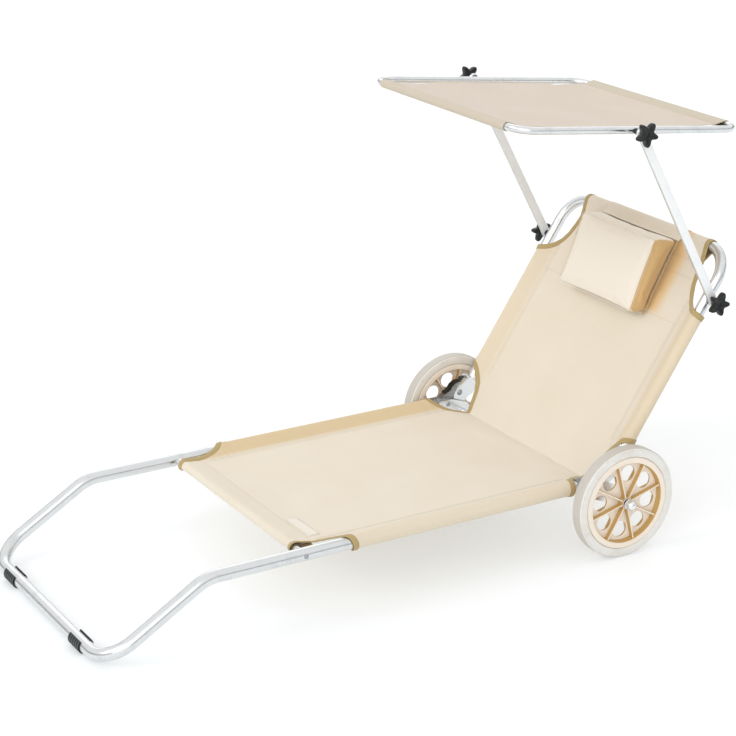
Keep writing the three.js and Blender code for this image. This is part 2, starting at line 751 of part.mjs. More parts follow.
// Seat fabric: a sagging sheet sewn into sleeves round the rails and a hem round the seat tube
const foldX = MEETING_X - FOLD_FORWARD;
const foldZ = RAIL_HEIGHT - FOLD_DROP;
const notchX = MEETING_X - NOTCH_REACH;
const foldGap = CLOTH / 2 + GAP;

function seatFabric() {
  const start = SEAT_TUBE_X + SEAT_TUBE_RADIUS + SLEEVE_PLAY + CLOTH / 2;
  const end = foldX - foldGap;
  const height = (x, y) => {
    const across = 1 - (y / SEAT_EDGE) ** 2;
    const along = Math.min(1, (x - start) / SEAM_REACH) * Math.min(1, (end - x) / NOTCH_REACH);
    const drop = Math.max(0, (x - notchX) / (end - notchX));
    return RAIL_HEIGHT - SEAT_SAG * across * along - FOLD_DROP * drop * drop;
  };
  const xs = [...spread(start, start + SEAM_REACH, 2), ...spread(start + SEAM_REACH, end, 10).slice(1)];
  const sheet = sheetOver(xs, spread(-SEAT_EDGE, SEAT_EDGE, 8), height, CLOTH);
  const section = sleeveSection(RAIL_RADIUS, CLOTH, SEAM_REACH);
  const sleeve = sleeveAlongX(section, RAIL_Y, RAIL_HEIGHT, SEAT_TUBE_X + CUTOUT_LENGTH / 2, end);
  const hem = sleeveAlongY(
    sleeveSection(SEAT_TUBE_RADIUS, CLOTH, SEAM_REACH),
    SEAT_TUBE_X,
    RAIL_HEIGHT,
    SEAT_EDGE,
    -1,
  );
  const whole = join(sheet, sleeve, mirrored(sleeve), hem);
  return cut(whole, ...bothSides(frontCutout()), ...bothSides(hingeNotch(notchX, foldX)));
}

const bothSides = (geometry) => [geometry, mirrored(geometry)];

// A shape drawn in X and Y, cut right through in Z
function throughCut(shape, reach) {
  return new THREE.ExtrudeGeometry(shape, { depth: 2 * reach, bevelEnabled: false, curveSegments: 8 }).translate(
    0,
    0,
    -reach,
  );
}

function frontCutout() {
  const far = RAIL_Y + 2 * RAIL_RADIUS;
  const shape = new THREE.Shape();
  shape.moveTo(SEAT_TUBE_X - SEAM_REACH, far);
  shape.lineTo(SEAT_TUBE_X - SEAM_REACH, HEM_HALF_WIDTH - SEAM_REACH / 2);
  shape.lineTo(SEAT_TUBE_X - SEAT_TUBE_RADIUS, HEM_HALF_WIDTH);
  const [first, middle, second] = CUTOUT_SHARES.map(([along, out]) => [
    SEAT_TUBE_X + CUTOUT_LENGTH * along,
    SEAT_EDGE * out,
  ]);
  shape.quadraticCurveTo(...first, ...middle);
  shape.quadraticCurveTo(...second, SEAT_TUBE_X + CUTOUT_LENGTH, RAIL_Y + RAIL_RADIUS / 2);
  shape.lineTo(SEAT_TUBE_X + CUTOUT_LENGTH + OVERRUN, far);
  shape.closePath();
  return throughCut(shape, RAIL_HEIGHT * 2);
}

// Edge of the bound notch beside a hinge: from the sleeve's end to the fold's end
function hingeNotch(sleeveEnd, fold) {
  const far = RAIL_Y + 2 * RAIL_RADIUS;
  const side = Math.sign(fold - sleeveEnd);
  const shape = new THREE.Shape();
  shape.moveTo(sleeveEnd, far);
  shape.lineTo(sleeveEnd, RAIL_Y + RAIL_RADIUS / 2);
  shape.quadraticCurveTo(
    sleeveEnd + (fold - sleeveEnd) * NOTCH_BOW_SHARE,
    FOLD_HALF_WIDTH + NOTCH_BOW,
    fold + side * GAP,
    FOLD_HALF_WIDTH,
  );
  shape.lineTo(fold + side * SEAM_REACH, FOLD_HALF_WIDTH);
  shape.lineTo(fold + side * SEAM_REACH, far);
  shape.closePath();
  return throughCut(shape, RAIL_HEIGHT * 2);
}

// Backrest pieces, in the backrest's own frame: origin on the pin, X up the back, Z towards the sitter
const tubeZ = -HINGE_OFFSET;
const upperInside = UPPER_CHEEK - SHELL_THICKNESS;
const backSleeve = BACK_RADIUS + GAP + SHELL_THICKNESS;
const upperRivetX = BACK_TUBE_START + UPPER_SLEEVE / 2;

function backTube() {
  const route = new BentRoute([
    corner(BACK_TUBE_START, -RAIL_Y, tubeZ),
    corner(BACK_LENGTH, -RAIL_Y, tubeZ, BACK_BEND),
    corner(BACK_LENGTH, RAIL_Y, tubeZ, BACK_BEND),
    corner(BACK_TUBE_START, RAIL_Y, tubeZ),
  ]);
  const reach = RAIL_Y + BACK_RADIUS + OVERRUN;
  const rivetHole = bar(RIVET_RADIUS + GAP, upperRivetX, tubeZ, -reach, reach, THIN_SIDES);
  const studHole = bar(STUD_RADIUS + GAP, armX, tubeZ, RAIL_Y, reach, THIN_SIDES);
  return cut(tubeAlong(route, BACK_RADIUS, BACK_WALL), rivetHole, studHole, mirrored(studHole));
}

// Upper hinge shell: two cheeks outside the lower shell's, a rear web, and a sleeve on the back tube
function upperShell() {
  const blend = BACK_TUBE_START + UPPER_SLEEVE / 2;
  const low = tubeZ - BACK_RADIUS;
  const reached = ([x, z]) => [x * UPPER_REACH, z * UPPER_REACH];
  const outline = polygon([
    ...PLATE_FRONT_SHARES.map(reached),
    [BACK_TUBE_START, tubeZ + BACK_RADIUS],
    [blend, tubeZ + BACK_RADIUS / 2],
    [blend, tubeZ - BACK_RADIUS / 2],
    [BACK_TUBE_START, low - SHELL_THICKNESS],
    [UPPER_REACH / 2, low - SHELL_THICKNESS],
    ...PLATE_REAR_SHARES.map(reached),
  ]);
  const cheeks = plate(outline, -UPPER_CHEEK, UPPER_CHEEK);
  const hollow = block(-2 * UPPER_REACH, blend + OVERRUN, -upperInside, upperInside, low, 2 * UPPER_REACH);
  const front = block(
    -2 * UPPER_REACH,
    UPPER_REACH / 2,
    -upperInside,
    upperInside,
    -2 * UPPER_REACH,
    2 * UPPER_REACH,
  );
  const sleeve = barAlongX(backSleeve, 0, tubeZ, BACK_TUBE_START, BACK_TUBE_START + UPPER_SLEEVE);
  const bore = barAlongX(
    BACK_RADIUS + GAP,
    0,
    tubeZ,
    BACK_TUBE_START - OVERRUN,
    BACK_TUBE_START + UPPER_SLEEVE + OVERRUN,
  );
  const pinHole = bar(PIN_RADIUS + GAP, 0, 0, -2 * UPPER_CHEEK, 2 * UPPER_CHEEK);
  const rivetHole = bar(RIVET_RADIUS + GAP, upperRivetX, tubeZ, -2 * UPPER_CHEEK, 2 * UPPER_CHEEK, THIN_SIDES);
  return cut(join(cut(cheeks, hollow, front), sleeve), bore, pinHole, rivetHole).translate(0, RAIL_Y, 0);
}

// Toothed wheel on the pin, between the lower shell's cheeks
function ratchetWheel() {
  const points = [];
  for (let i = 0; i < RATCHET_TEETH; i++) {
    const step = (2 * Math.PI) / RATCHET_TEETH;
    for (const [share, radius] of [
      [0, RATCHET_RADIUS - RATCHET_TOOTH],
      [0.75, RATCHET_RADIUS],
    ])
      points.push([radius * Math.cos((i + share) * step), radius * Math.sin((i + share) * step)]);
  }
  const shape = polygon(points);
  shape.holes.push(circle(PIN_RADIUS + GAP));
  return plate(shape, -RATCHET_HALF_WIDTH, RATCHET_HALF_WIDTH).translate(0, RAIL_Y, 0);
}

const pivotPin = () =>
  rivet(PIN_RADIUS, PIN_HEAD_RADIUS, PIN_HEAD_HEIGHT, UPPER_CHEEK + GAP).translate(0, RAIL_Y, 0);

const backRivet = () =>
  rivet(RIVET_RADIUS, RIVET_HEAD_RADIUS, RIVET_HEAD_HEIGHT, backSleeve + GAP).translate(
    upperRivetX,
    RAIL_Y,
    tubeZ,
  );

// Back fabric: a sheet sewn into sleeves round the side tubes and a hem round the top bar
const foldBack = new THREE.Vector3(foldX - pin.x, 0, foldZ - pin.z).applyAxisAngle(
  new THREE.Vector3(0, 1, 0),
  backTilt,
);
const notchBack = NOTCH_REACH - pinAlong;
const topSeam = BACK_LENGTH - SEAM_REACH;

function backFabric() {
  const start = foldBack.x + foldGap;
  const end = BACK_LENGTH - BACK_RADIUS - SLEEVE_PLAY - CLOTH / 2;
  const height = (x, y) => {
    const across = 1 - (y / SEAT_EDGE) ** 2;
    const along = Math.min(1, (x - start) / NOTCH_REACH) * Math.min(1, (end - x) / SEAM_REACH);
    const drop = Math.max(0, (notchBack - x) / (notchBack - start));
    return tubeZ - BACK_SAG * across * along + (foldBack.z - tubeZ) * drop * drop;
  };
  const sheet = sheetOver(
    [...spread(start, topSeam, 9), ...spread(topSeam, end, 2).slice(1)],
    spread(-SEAT_EDGE, SEAT_EDGE, 8),
    height,
    CLOTH,
  );
  const sleeve = sleeveAlongX(
    sleeveSection(BACK_RADIUS, CLOTH, SEAM_REACH),
    RAIL_Y,
    tubeZ,
    start,
    BACK_LENGTH - TOP_CORNER_LENGTH + SEAM_REACH,
  );
  const hem = sleeveAlongY(
    sleeveSection(BACK_RADIUS, CLOTH, SEAM_REACH),
    BACK_LENGTH,
    tubeZ,
    TOP_HALF_WIDTH,
    1,
  );
  const whole = join(sheet, sleeve, mirrored(sleeve), hem);
  return cut(whole, ...bothSides(topCorner()), ...bothSides(hingeNotch(notchBack, foldBack.x)));
}

// Concave cut-away corner of the backrest
function topCorner() {
  const far = RAIL_Y + 2 * RAIL_RADIUS;
  const low = BACK_LENGTH - TOP_CORNER_LENGTH;
  const high = BACK_LENGTH + 2 * BACK_RADIUS;
  const shape = new THREE.Shape();
  shape.moveTo(low, far);
  shape.lineTo(low, RAIL_Y + BACK_RADIUS);
  const pulls = TOP_CORNER_SHARES.map(([along, out]) => [
    low + TOP_CORNER_LENGTH * along,
    TOP_HALF_WIDTH + SEAM_REACH * out,
  ]);
  shape.bezierCurveTo(...pulls.flat());
  shape.lineTo(high, TOP_HALF_WIDTH);
  shape.lineTo(high, far);
  shape.closePath();
  return throughCut(shape, RAIL_HEIGHT * 2);
}

// Head pillow: crowned faces, sides drawn in between the corners
function headPillow() {
  const columns = 14;
  const rows = 10;
  const position = [];
  const index = [];
  const outline = [];
  for (const [count, from, to] of [
    [rows, [-1, -1], [1, -1]],
    [columns, [1, -1], [1, 1]],
    [rows, [1, 1], [-1, 1]],
    [columns, [-1, 1], [-1, -1]],
  ])
    for (let i = 0; i < count; i++)
      outline.push([from[0] + ((to[0] - from[0]) * i) / count, from[1] + ((to[1] - from[1]) * i) / count]);
  const rounded = (u, v) => {
    const x = u * (1 - PILLOW_DRAW_SHARE * (1 - v * v));
    const y = v * (1 - PILLOW_DRAW_SHARE * (1 - u * u));
    return [(x * PILLOW_HEIGHT) / 2, (y * PILLOW_WIDTH) / 2];
  };
  const edge = PILLOW_THICKNESS / 2;
  const wedge = (u) => 1 + PILLOW_WEDGE_SHARE * u;
  const levels = PILLOW_LAYERS.map((level) => [level * edge, 1 - PILLOW_ROUNDING_SHARE * level ** 4]);
  const put = (u, v, z, shrink) => {
    const [x, y] = rounded(u * shrink, v * shrink);
    position.push(x - z * wedge(u) * PILLOW_LEAN_SHARE, y, z * wedge(u));
    return position.length / 3 - 1;
  };
  const rims = levels.map(([z, shrink]) => outline.map(([u, v]) => put(u, v, z, shrink)));
  const ringCount = outline.length;
  for (let level = 0; level < rims.length - 1; level++)
    for (let i = 0; i < ringCount; i++) {
      const next = (i + 1) % ringCount;
      const [a, b, c, d] = [rims[level][i], rims[level][next], rims[level + 1][next], rims[level + 1][i]];
      index.push(a, b, c, a, c, d);
    }
  for (const side of [-1, 1]) {
    const rim = side < 0 ? rims[0] : rims.at(-1);
    const shrink = side < 0 ? levels[0][1] : levels.at(-1)[1];
    const grid = new Map();
    outline.forEach(([u, v], i) => grid.set(key(u, v), rim[i]));
    const vertex = (i, j) => {
      const u = -1 + (2 * i) / rows;
      const v = -1 + (2 * j) / columns;
      const name = key(u, v);
      if (!grid.has(name)) {
        const crown = (side < 0 ? PILLOW_BACK_CROWN : PILLOW_CROWN) * (1 - u ** 4) * (1 - v ** 4);
        grid.set(name, put(u, v, side * (edge + crown), shrink));
      }
      return grid.get(name);
    };
    for (let i = 0; i < rows; i++)
      for (let j = 0; j < columns; j++) {
        const quad = [vertex(i, j), vertex(i + 1, j), vertex(i + 1, j + 1), vertex(i, j + 1)];
        if (side < 0) quad.reverse();
        index.push(quad[0], quad[1], quad[2], quad[0], quad[2], quad[3]);
      }
  }
  const geometry = new THREE.BufferGeometry();
  geometry.setAttribute("position", new THREE.Float32BufferAttribute(position, 3));
  geometry.setIndex(index);
  return geometry
    .translate(PILLOW_HEIGHT / 2, 0, 0)
    .rotateY(-pillowTilt)
    .translate(BACK_LENGTH - PILLOW_FROM_TOP, 0, pillowZ);
}

const pillowTilt = THREE.MathUtils.degToRad(PILLOW_TILT);
const pillowZ = tubeZ + CLOTH / 2 + (PILLOW_THICKNESS / 2) * (1 - PILLOW_WEDGE_SHARE);

const key = (u, v) => Math.round(u * 1000) + "," + Math.round(v * 1000);

// Flap: from the pillow's upper back edge, over the top bar and down the back
function pillowFlap() {
  const radius = BACK_RADIUS + SLEEVE_PLAY + CLOTH + GAP;
  const outer = radius + FLAP_THICKNESS;
  const depth = (PILLOW_THICKNESS / 2) * (1 + PILLOW_WEDGE_SHARE) - FLAP_THICKNESS;
  const along = PILLOW_HEIGHT * (1 - PILLOW_ROUNDING_SHARE / 2) + 2 * GAP + depth * PILLOW_LEAN_SHARE;
  const rootX = BACK_LENGTH - PILLOW_FROM_TOP + along * Math.cos(pillowTilt) + depth * Math.sin(pillowTilt);
  const rootZ = pillowZ + along * Math.sin(pillowTilt) - depth * Math.cos(pillowTilt);
  const away = Math.hypot(rootX - BACK_LENGTH, rootZ - tubeZ);
  const touch = Math.atan2(rootZ - tubeZ, rootX - BACK_LENGTH) - Math.acos(outer / away);
  const shape = new THREE.Shape();
  shape.moveTo(rootX, rootZ);
  shape.absarc(BACK_LENGTH, tubeZ, outer, touch, -Math.PI / 2, true);
  shape.lineTo(BACK_LENGTH - FLAP_TAIL, tubeZ - outer);
  shape.lineTo(BACK_LENGTH - FLAP_TAIL, tubeZ - radius);
  shape.absarc(BACK_LENGTH, tubeZ, radius, -Math.PI / 2, touch);
  shape.lineTo(rootX, rootZ - FLAP_THICKNESS);
  shape.closePath();
  return plate(shape, -PILLOW_WIDTH / 2, PILLOW_WIDTH / 2);
}

// Spacers and arms
const armX = BACK_LENGTH - ARM_FROM_TOP;
const armInner = ARM_OFFSET - ARM_THICKNESS / 2;
const armOuter = ARM_OFFSET + ARM_THICKNESS / 2;

const lowerSpacer = () =>
  ring(SPACER_RADIUS, STUD_RADIUS + GAP, RAIL_Y + BACK_RADIUS + GAP, armInner - GAP).translate(armX, 0, tubeZ);

// Arm: a flat-oval bar with round ends, along X from its lower pivot
function canopyArm() {
  const radius = ARM_WIDTH / 2 - ARM_BEVEL;
  const shape = new THREE.Shape();
  shape.absarc(0, 0, radius, Math.PI / 2, (3 * Math.PI) / 2);
  shape.absarc(ARM_LENGTH, 0, radius, -Math.PI / 2, Math.PI / 2);
  shape.closePath();
  const body = new THREE.ExtrudeGeometry(shape, {
    depth: ARM_THICKNESS - 2 * ARM_BEVEL,
    bevelThickness: ARM_BEVEL,
    bevelSize: ARM_BEVEL,
    bevelSegments: 1,
    curveSegments: 7,
  });
  body.rotateX(Math.PI / 2).translate(0, armOuter - ARM_BEVEL, 0);
  const hole = (x) => bar(STUD_RADIUS + GAP, x, 0, armInner - OVERRUN, armOuter + OVERRUN, THIN_SIDES);
  return cut(body, hole(0), hole(ARM_LENGTH));
}

// Star knob: lobes round a dished face, on a short neck; its bearing face is at y = 0
function starKnob() {
  const shape = new THREE.Shape();
  const count = KNOB_LOBES * 6;
  const middle = (KNOB_RADIUS + KNOB_VALLEY_RADIUS) / 2 - KNOB_BEVEL;
  const swing = (KNOB_RADIUS - KNOB_VALLEY_RADIUS) / 2;
  for (let i = 0; i < count; i++) {
    const angle = (2 * Math.PI * i) / count;
    const wave = Math.cos(KNOB_LOBES * angle);
    const radius = middle + swing * (wave + KNOB_FULLNESS_SHARE * (wave * wave - 1 / 2));
    const point = [radius * Math.sin(angle), -radius * Math.cos(angle)];
    if (i === 0) shape.moveTo(...point);
    else shape.lineTo(...point);
  }
  shape.closePath();
  const star = new THREE.ExtrudeGeometry(shape, {
    depth: KNOB_DEPTH - 2 * KNOB_BEVEL,
    bevelThickness: KNOB_BEVEL,
    bevelSize: KNOB_BEVEL,
    bevelSegments: 1,
  });
  star.rotateX(Math.PI / 2).translate(0, KNOB_NECK + KNOB_DEPTH - KNOB_BEVEL, 0);
  const face = KNOB_NECK + KNOB_DEPTH;
  const neck = bar(KNOB_NECK_RADIUS, 0, 0, 0, KNOB_NECK + KNOB_BEVEL);
  const [floorRadius, floorDepth] = KNOB_DISH_SHARES;
  const dish = turned([
    [0, face - KNOB_DISH_DEPTH],
    [KNOB_DISH_RADIUS * floorRadius, face - KNOB_DISH_DEPTH * floorDepth],
    [KNOB_DISH_RADIUS, face],
    [KNOB_DISH_RADIUS, face + OVERRUN],
    [0, face + OVERRUN],
  ]);
  const seat = bar(STUD_RADIUS + GAP, 0, 0, -OVERRUN, STUD_DEPTH + GAP, THIN_SIDES);
  return cut(join(star, neck), dish, seat);
}

const knobY = armOuter + GAP;
const stud = (end) => bar(STUD_RADIUS, 0, 0, end, knobY + STUD_DEPTH, THIN_SIDES);

// Canopy pieces, in the canopy's own frame: origin between the arms' upper pivots, X to its front,
// Z down as it stands
function canopyTubeFront() {
  const route = new BentRoute([
    corner(-CANOPY_JOINT, -CANOPY_Y, 0),
    corner(CANOPY_FRONT, -CANOPY_Y, 0, CANOPY_BEND),
    corner(CANOPY_FRONT, CANOPY_Y, 0, CANOPY_BEND),
    corner(-CANOPY_JOINT, CANOPY_Y, 0),
  ]);
  const hole = bar(STUD_RADIUS + GAP, 0, 0, CANOPY_Y, CANOPY_Y + 2 * CANOPY_RADIUS, THIN_SIDES);
  return cut(tubeAlong(route, CANOPY_RADIUS, CANOPY_WALL, THIN_SIDES), hole, mirrored(hole));
}

// Rear half, with narrowed ends that plug into the front half
function canopyTubeRear() {
  const bore = CANOPY_RADIUS - CANOPY_WALL;
  const start = -CANOPY_JOINT - GAP;
  const route = new BentRoute([
    corner(start, CANOPY_Y, 0),
    corner(-CANOPY_REAR, CANOPY_Y, 0, CANOPY_BEND),
    corner(-CANOPY_REAR, -CANOPY_Y, 0, CANOPY_BEND),
    corner(start, -CANOPY_Y, 0),
  ]);
  const plug = (y) => barAlongX(bore - 2 * GAP, y, 0, start - SPIGOT_LENGTH, start + SPIGOT_LENGTH, THIN_SIDES);
  const collar = (y) => barAlongX(bore + CANOPY_WALL / 2, y, 0, start - SPIGOT_LENGTH, start, THIN_SIDES);
  const vent = (y) =>
    barAlongX(
      bore - 2 * CANOPY_WALL,
      y,
      0,
      start - SPIGOT_LENGTH - OVERRUN,
      start + SPIGOT_LENGTH + OVERRUN,
      THIN_SIDES,
    );
  const ends = [-CANOPY_Y, CANOPY_Y];
  const whole = join(
    tubeAlong(route, CANOPY_RADIUS, CANOPY_WALL, THIN_SIDES),
    ...ends.flatMap((y) => [plug(y), collar(y)]),
  );
  return cut(whole, ...ends.map(vent));
}

function canopyFabric() {
  const half = CANOPY_Y - CANOPY_RADIUS - 2 * GAP;
  const inner = CANOPY_RADIUS + SLEEVE_PLAY + CANOPY_CLOTH / 2;
  const front = CANOPY_FRONT - inner;
  const rear = -CANOPY_REAR + inner;
  const height = (x, y) => {
    const across = 1 - (y / half) ** 2;
    const along = Math.min(1, (front - x) / CANOPY_SEAM_REACH, (x - rear) / CANOPY_SEAM_REACH);
    return CANOPY_SAG * across * along;
  };
  const xs = [
    rear,
    ...spread(rear + CANOPY_SEAM_REACH, front - CANOPY_SEAM_REACH, 8),
    front,
  ];
  const sheet = sheetOver(xs, spread(-half, half, 8), height, CANOPY_CLOTH);
  const section = sleeveSection(CANOPY_RADIUS, CANOPY_CLOTH, CANOPY_SEAM_REACH);
  const hemHalf = CANOPY_Y - CANOPY_BEND - 2 * GAP;
  const frontHem = sleeveAlongY(section, CANOPY_FRONT, 0, hemHalf, 1);
  const rearHem = sleeveAlongY(section, -CANOPY_REAR, 0, hemHalf, -1);
  const clip = (end, towards) => {
    const x0 = end - towards * (CANOPY_BEND + OVERRUN);
    const shape = polygon([
      [x0, half],
      [end - towards * inner, hemHalf],
      [end + towards * CANOPY_BEND, hemHalf],
      [end + towards * CANOPY_BEND, 2 * half],
      [x0, 2 * half],
    ]);
    return throughCut(shape, CANOPY_SPACING);
  };
  return cut(
    join(sheet, frontHem, rearHem),
    ...bothSides(clip(CANOPY_FRONT, 1)),
    ...bothSides(clip(-CANOPY_REAR, -1)),
  );
}

// Stepped spacer between the canopy's rail and the arm
function upperSpacer() {
  const start = CANOPY_Y + CANOPY_RADIUS + GAP;
  const end = armInner - GAP;
  const length = end - start;
  const bore = STUD_RADIUS + GAP;
  return turned(
    [
      [bore, start],
      ...SPACER_SHARES.map(([along, radius]) => [SPACER_RADIUS * radius, start + length * along]),
      [SPACER_RADIUS, end],
      [bore, end],
      [bore, start],
    ],
    ROUND_SIDES / 2,
  );
}

// Seat frame
place(seatGroup, "main_frame_tube", mainFrame(), aluminium);
placePair(seatGroup, "foot_clip", footClip(), blackPlastic);
place(seatGroup, "seat_front_tube", seatTube(), aluminium);
placePair(seatGroup, "seat_tube_screw", seatScrew(), zinc);
placePair(seatGroup, "hinge_lower_shell", lowerShell(), zinc);
placePair(seatGroup, "hinge_cover", hingeCover(), blackPlastic);
placePair(seatGroup, "rail_rivet", railRivet(), zinc);
placePair(seatGroup, "axle_bracket", axleBracket(), zinc);
place(seatGroup, "seat_fabric", seatFabric(), cloth);

// Axle and wheels
place(axleGroup, "axle", axle(), zinc);
placePair(axleGroup, "axle_washer", axleWasher(), zinc);
placePair(axleGroup, "axle_cap", axleCap(), zinc);
const rim = wheelRim();
const tyreRing = tyre();
for (const [side, turn] of Object.entries(WHEEL_TURNS)) {
  const wheel = new THREE.Group();
  const out = side === "right" ? 1 : -1;
  place(wheel, "wheel_rim_" + side, rim, beigePlastic).scale.y = out;
  place(wheel, "tyre_" + side, tyreRing, paleTyre).scale.y = out;
  wheel.position.y = out * WHEEL_OFFSET;
  wheel.rotation.y = -THREE.MathUtils.degToRad(turn);
  axleGroup.add(wheel);
}
axleGroup.position.set(AXLE_X, AXLE_SHIFT, WHEEL_RADIUS);
seatGroup.add(axleGroup);

// Backrest, turned up about the pin
place(backGroup, "back_tube", backTube(), aluminium);
placePair(backGroup, "hinge_upper_shell", upperShell(), zinc);
placePair(backGroup, "ratchet_wheel", ratchetWheel(), zinc);
placePair(backGroup, "pivot_pin", pivotPin(), zinc);
placePair(backGroup, "back_tube_rivet", backRivet(), zinc);
place(backGroup, "back_fabric", backFabric(), cloth);
place(backGroup, "head_pillow", headPillow(), cloth);
place(backGroup, "pillow_flap", pillowFlap(), cloth);
placePair(backGroup, "lower_arm_spacer", lowerSpacer(), blackPlastic);
backGroup.position.copy(pin);
backGroup.rotation.y = -backTilt;
seatGroup.add(backGroup);

// Canopy arms, turned forward about the lower pivots
placePair(armGroup, "canopy_arm", canopyArm(), aluminium);
for (const [level, x, end] of [
  ["lower", 0, RAIL_Y],
  ["upper", ARM_LENGTH, CANOPY_Y],
]) {
  placePair(armGroup, level + "_knob", starKnob().translate(x, knobY, 0), blackPlastic);
  placePair(armGroup, level + "_stud", stud(end).translate(x, 0, 0), zinc);
}
armGroup.position.set(armX, 0, tubeZ);
armGroup.rotation.y = -THREE.MathUtils.degToRad(ARM_ANGLE);
backGroup.add(armGroup);

// Canopy, turned forward about the upper pivots
place(canopyGroup, "canopy_tube_front", canopyTubeFront(), aluminium);
place(canopyGroup, "canopy_tube_rear", canopyTubeRear(), aluminium);
place(canopyGroup, "canopy_fabric", canopyFabric(), canopyCloth);
placePair(canopyGroup, "upper_arm_spacer", upperSpacer(), blackPlastic);
canopyGroup.position.set(ARM_LENGTH, 0, 0);
canopyGroup.rotation.y = -THREE.MathUtils.degToRad(CANOPY_ANGLE);
armGroup.add(canopyGroup);

// The part's origin: under the middle of its bounding box
lounger.add(seatGroup);
lounger.updateMatrixWorld(true);
const bounds = new THREE.Box3().setFromObject(lounger, true);
seatGroup.position.set(-(bounds.min.x + bounds.max.x) / 2, -(bounds.min.y + bounds.max.y) / 2, -bounds.min.z);

export default lounger;
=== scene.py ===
"""Looks of a sun lounger with a tilting canopy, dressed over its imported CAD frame.

Metres; X from foot to head, Y to the lounger's right, Z up. Each surface is worked out as arrays.
"""

import math

import bmesh
import bpy
import numpy as np
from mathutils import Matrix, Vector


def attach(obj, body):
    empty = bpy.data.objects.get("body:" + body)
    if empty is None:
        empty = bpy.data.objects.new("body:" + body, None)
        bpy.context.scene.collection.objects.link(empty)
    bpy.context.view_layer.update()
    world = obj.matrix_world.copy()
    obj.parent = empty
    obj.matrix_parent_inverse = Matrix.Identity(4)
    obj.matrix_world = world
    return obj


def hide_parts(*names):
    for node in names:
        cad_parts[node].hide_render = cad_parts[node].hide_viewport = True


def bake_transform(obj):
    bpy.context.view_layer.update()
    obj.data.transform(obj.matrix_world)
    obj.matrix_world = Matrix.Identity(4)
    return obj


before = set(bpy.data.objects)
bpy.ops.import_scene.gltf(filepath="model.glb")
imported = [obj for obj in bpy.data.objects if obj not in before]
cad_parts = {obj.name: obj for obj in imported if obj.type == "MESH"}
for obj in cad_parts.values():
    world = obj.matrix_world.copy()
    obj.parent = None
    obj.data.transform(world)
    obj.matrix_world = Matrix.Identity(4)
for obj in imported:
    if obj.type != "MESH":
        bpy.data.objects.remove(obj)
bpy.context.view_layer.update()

bl_info = {
    "name": "Sun Lounger Builder",
    "version": (1, 0, 0),
    "blender": (4, 5, 0),
    "location": "3D View > Sidebar > Lounger",
    "description": "Builds the fabric, tubes, hinges, wheels and canopy of a sun lounger",
    "category": "Object",
}

SIDES = {"right": 1.0, "left": -1.0}

# Places of the frame, the same as the solids'
SHIFT = -0.7552586
RAIL_Y = 0.290
RAIL_Z = 0.148
RAIL_R = 0.014
BACK_R = 0.0125
FOOT_Z = 0.016
SEAT_TUBE_X = 0.438 + SHIFT
SEAT_TUBE_R = 0.008
RAIL_END_X = 1.157 + SHIFT
BACK_ANGLE = math.radians(55.8)
PIN = np.array([0.4286225, 0.0, 0.169])
HINGE_OFFSET = 0.021
BACK_LENGTH = 0.550
ARM_LENGTH = 0.457
ARM_X = BACK_LENGTH - 0.1125
ARM_Y = 0.313
ARM_HALF = 0.0045
GAP = 0.0003
ARM_ANGLE = BACK_ANGLE + math.radians(62.7)
CANOPY_Y = 0.285
CANOPY_R = 0.008
CANOPY_FRONT = 0.286
CANOPY_REAR = 0.290
CANOPY_ANGLE = ARM_ANGLE + math.radians(55)
AXLE_X = 1.1865 + SHIFT
WHEEL_R = 0.125
AXLE = (AXLE_X, WHEEL_R)
RIM_EDGE_R = 0.1025
TREAD_R = 0.1232
COLLAR_END = 0.3652
WHEELS = {"right": (0.326, math.radians(8.6)), "left": (0.361, math.radians(-7.7))}
MIDDLE_Y = 0.0175
SEAM_REACH = 0.042
SEAM_Y = RAIL_Y - SEAM_REACH
FOLD_X = 1.169 + SHIFT
FOLD_Z = 0.139
NOTCH = 0.098
MEETING_X = 1.195 + SHIFT
PIN_ALONG = MEETING_X - PIN[0]
BACK_Z = -HINGE_OFFSET


# Arrays


class Place:
    """A turned frame: its point (x, y, z) lies at origin + x cos a - z sin a along X, and + x sin a + z cos a up."""

    def __init__(self, origin, angle):
        self.origin = np.asarray(origin, float)
        c, s = math.cos(angle), math.sin(angle)
        self.axes = np.array([[c, 0, s], [0, 1, 0], [-s, 0, c]])

    def __call__(self, points):
        return np.asarray(points, float) @ self.axes + self.origin

    def inverse(self, points):
        return (np.asarray(points, float) - self.origin) @ self.axes.T


BACK = Place(PIN, BACK_ANGLE)
ARM = Place(BACK([ARM_X, 0, BACK_Z]), ARM_ANGLE)
CANOPY = Place(ARM([ARM_LENGTH, 0, 0]), CANOPY_ANGLE)


def unit(vectors):
    return vectors / np.maximum(np.linalg.norm(vectors, axis=-1, keepdims=True), 1e-12)


def lengths(points):
    """Distance along a line of points, from its first."""
    return np.concatenate([[0], np.cumsum(np.linalg.norm(np.diff(points, axis=0), axis=1))])


def resampled(points, at):
    """The line's points at the given distances along it."""
    s = lengths(points)
    return np.stack([np.interp(at, s, points[:, k]) for k in range(points.shape[1])], axis=1)


def smoothed(values, sigma, pitch):
    """Values averaged with a bell curve of that width, the ends held."""
    reach = int(4 * sigma / pitch) + 1
    weights = np.exp(-0.5 * (np.arange(-reach, reach + 1) * pitch / sigma) ** 2)
    weights /= weights.sum()
    first, last = values[:1], values[-1:]
    padded = np.concatenate([2 * first - values[reach:0:-1], values, 2 * last - values[-2 : -reach - 2 : -1]])
    columns = padded.reshape(len(padded), -1)
    done = np.stack([np.convolve(c, weights, "valid") for c in columns.T], axis=1)
    return done.reshape(values.shape)


def evened(points, sigma, step):
    """The line in even steps, smoothed by a bell curve."""
    return smoothed(resampled(points, np.arange(0, lengths(points)[-1], step)), sigma, step)


def bell(x, middle, width):
    return np.exp(-(((x - middle) / width) ** 2))


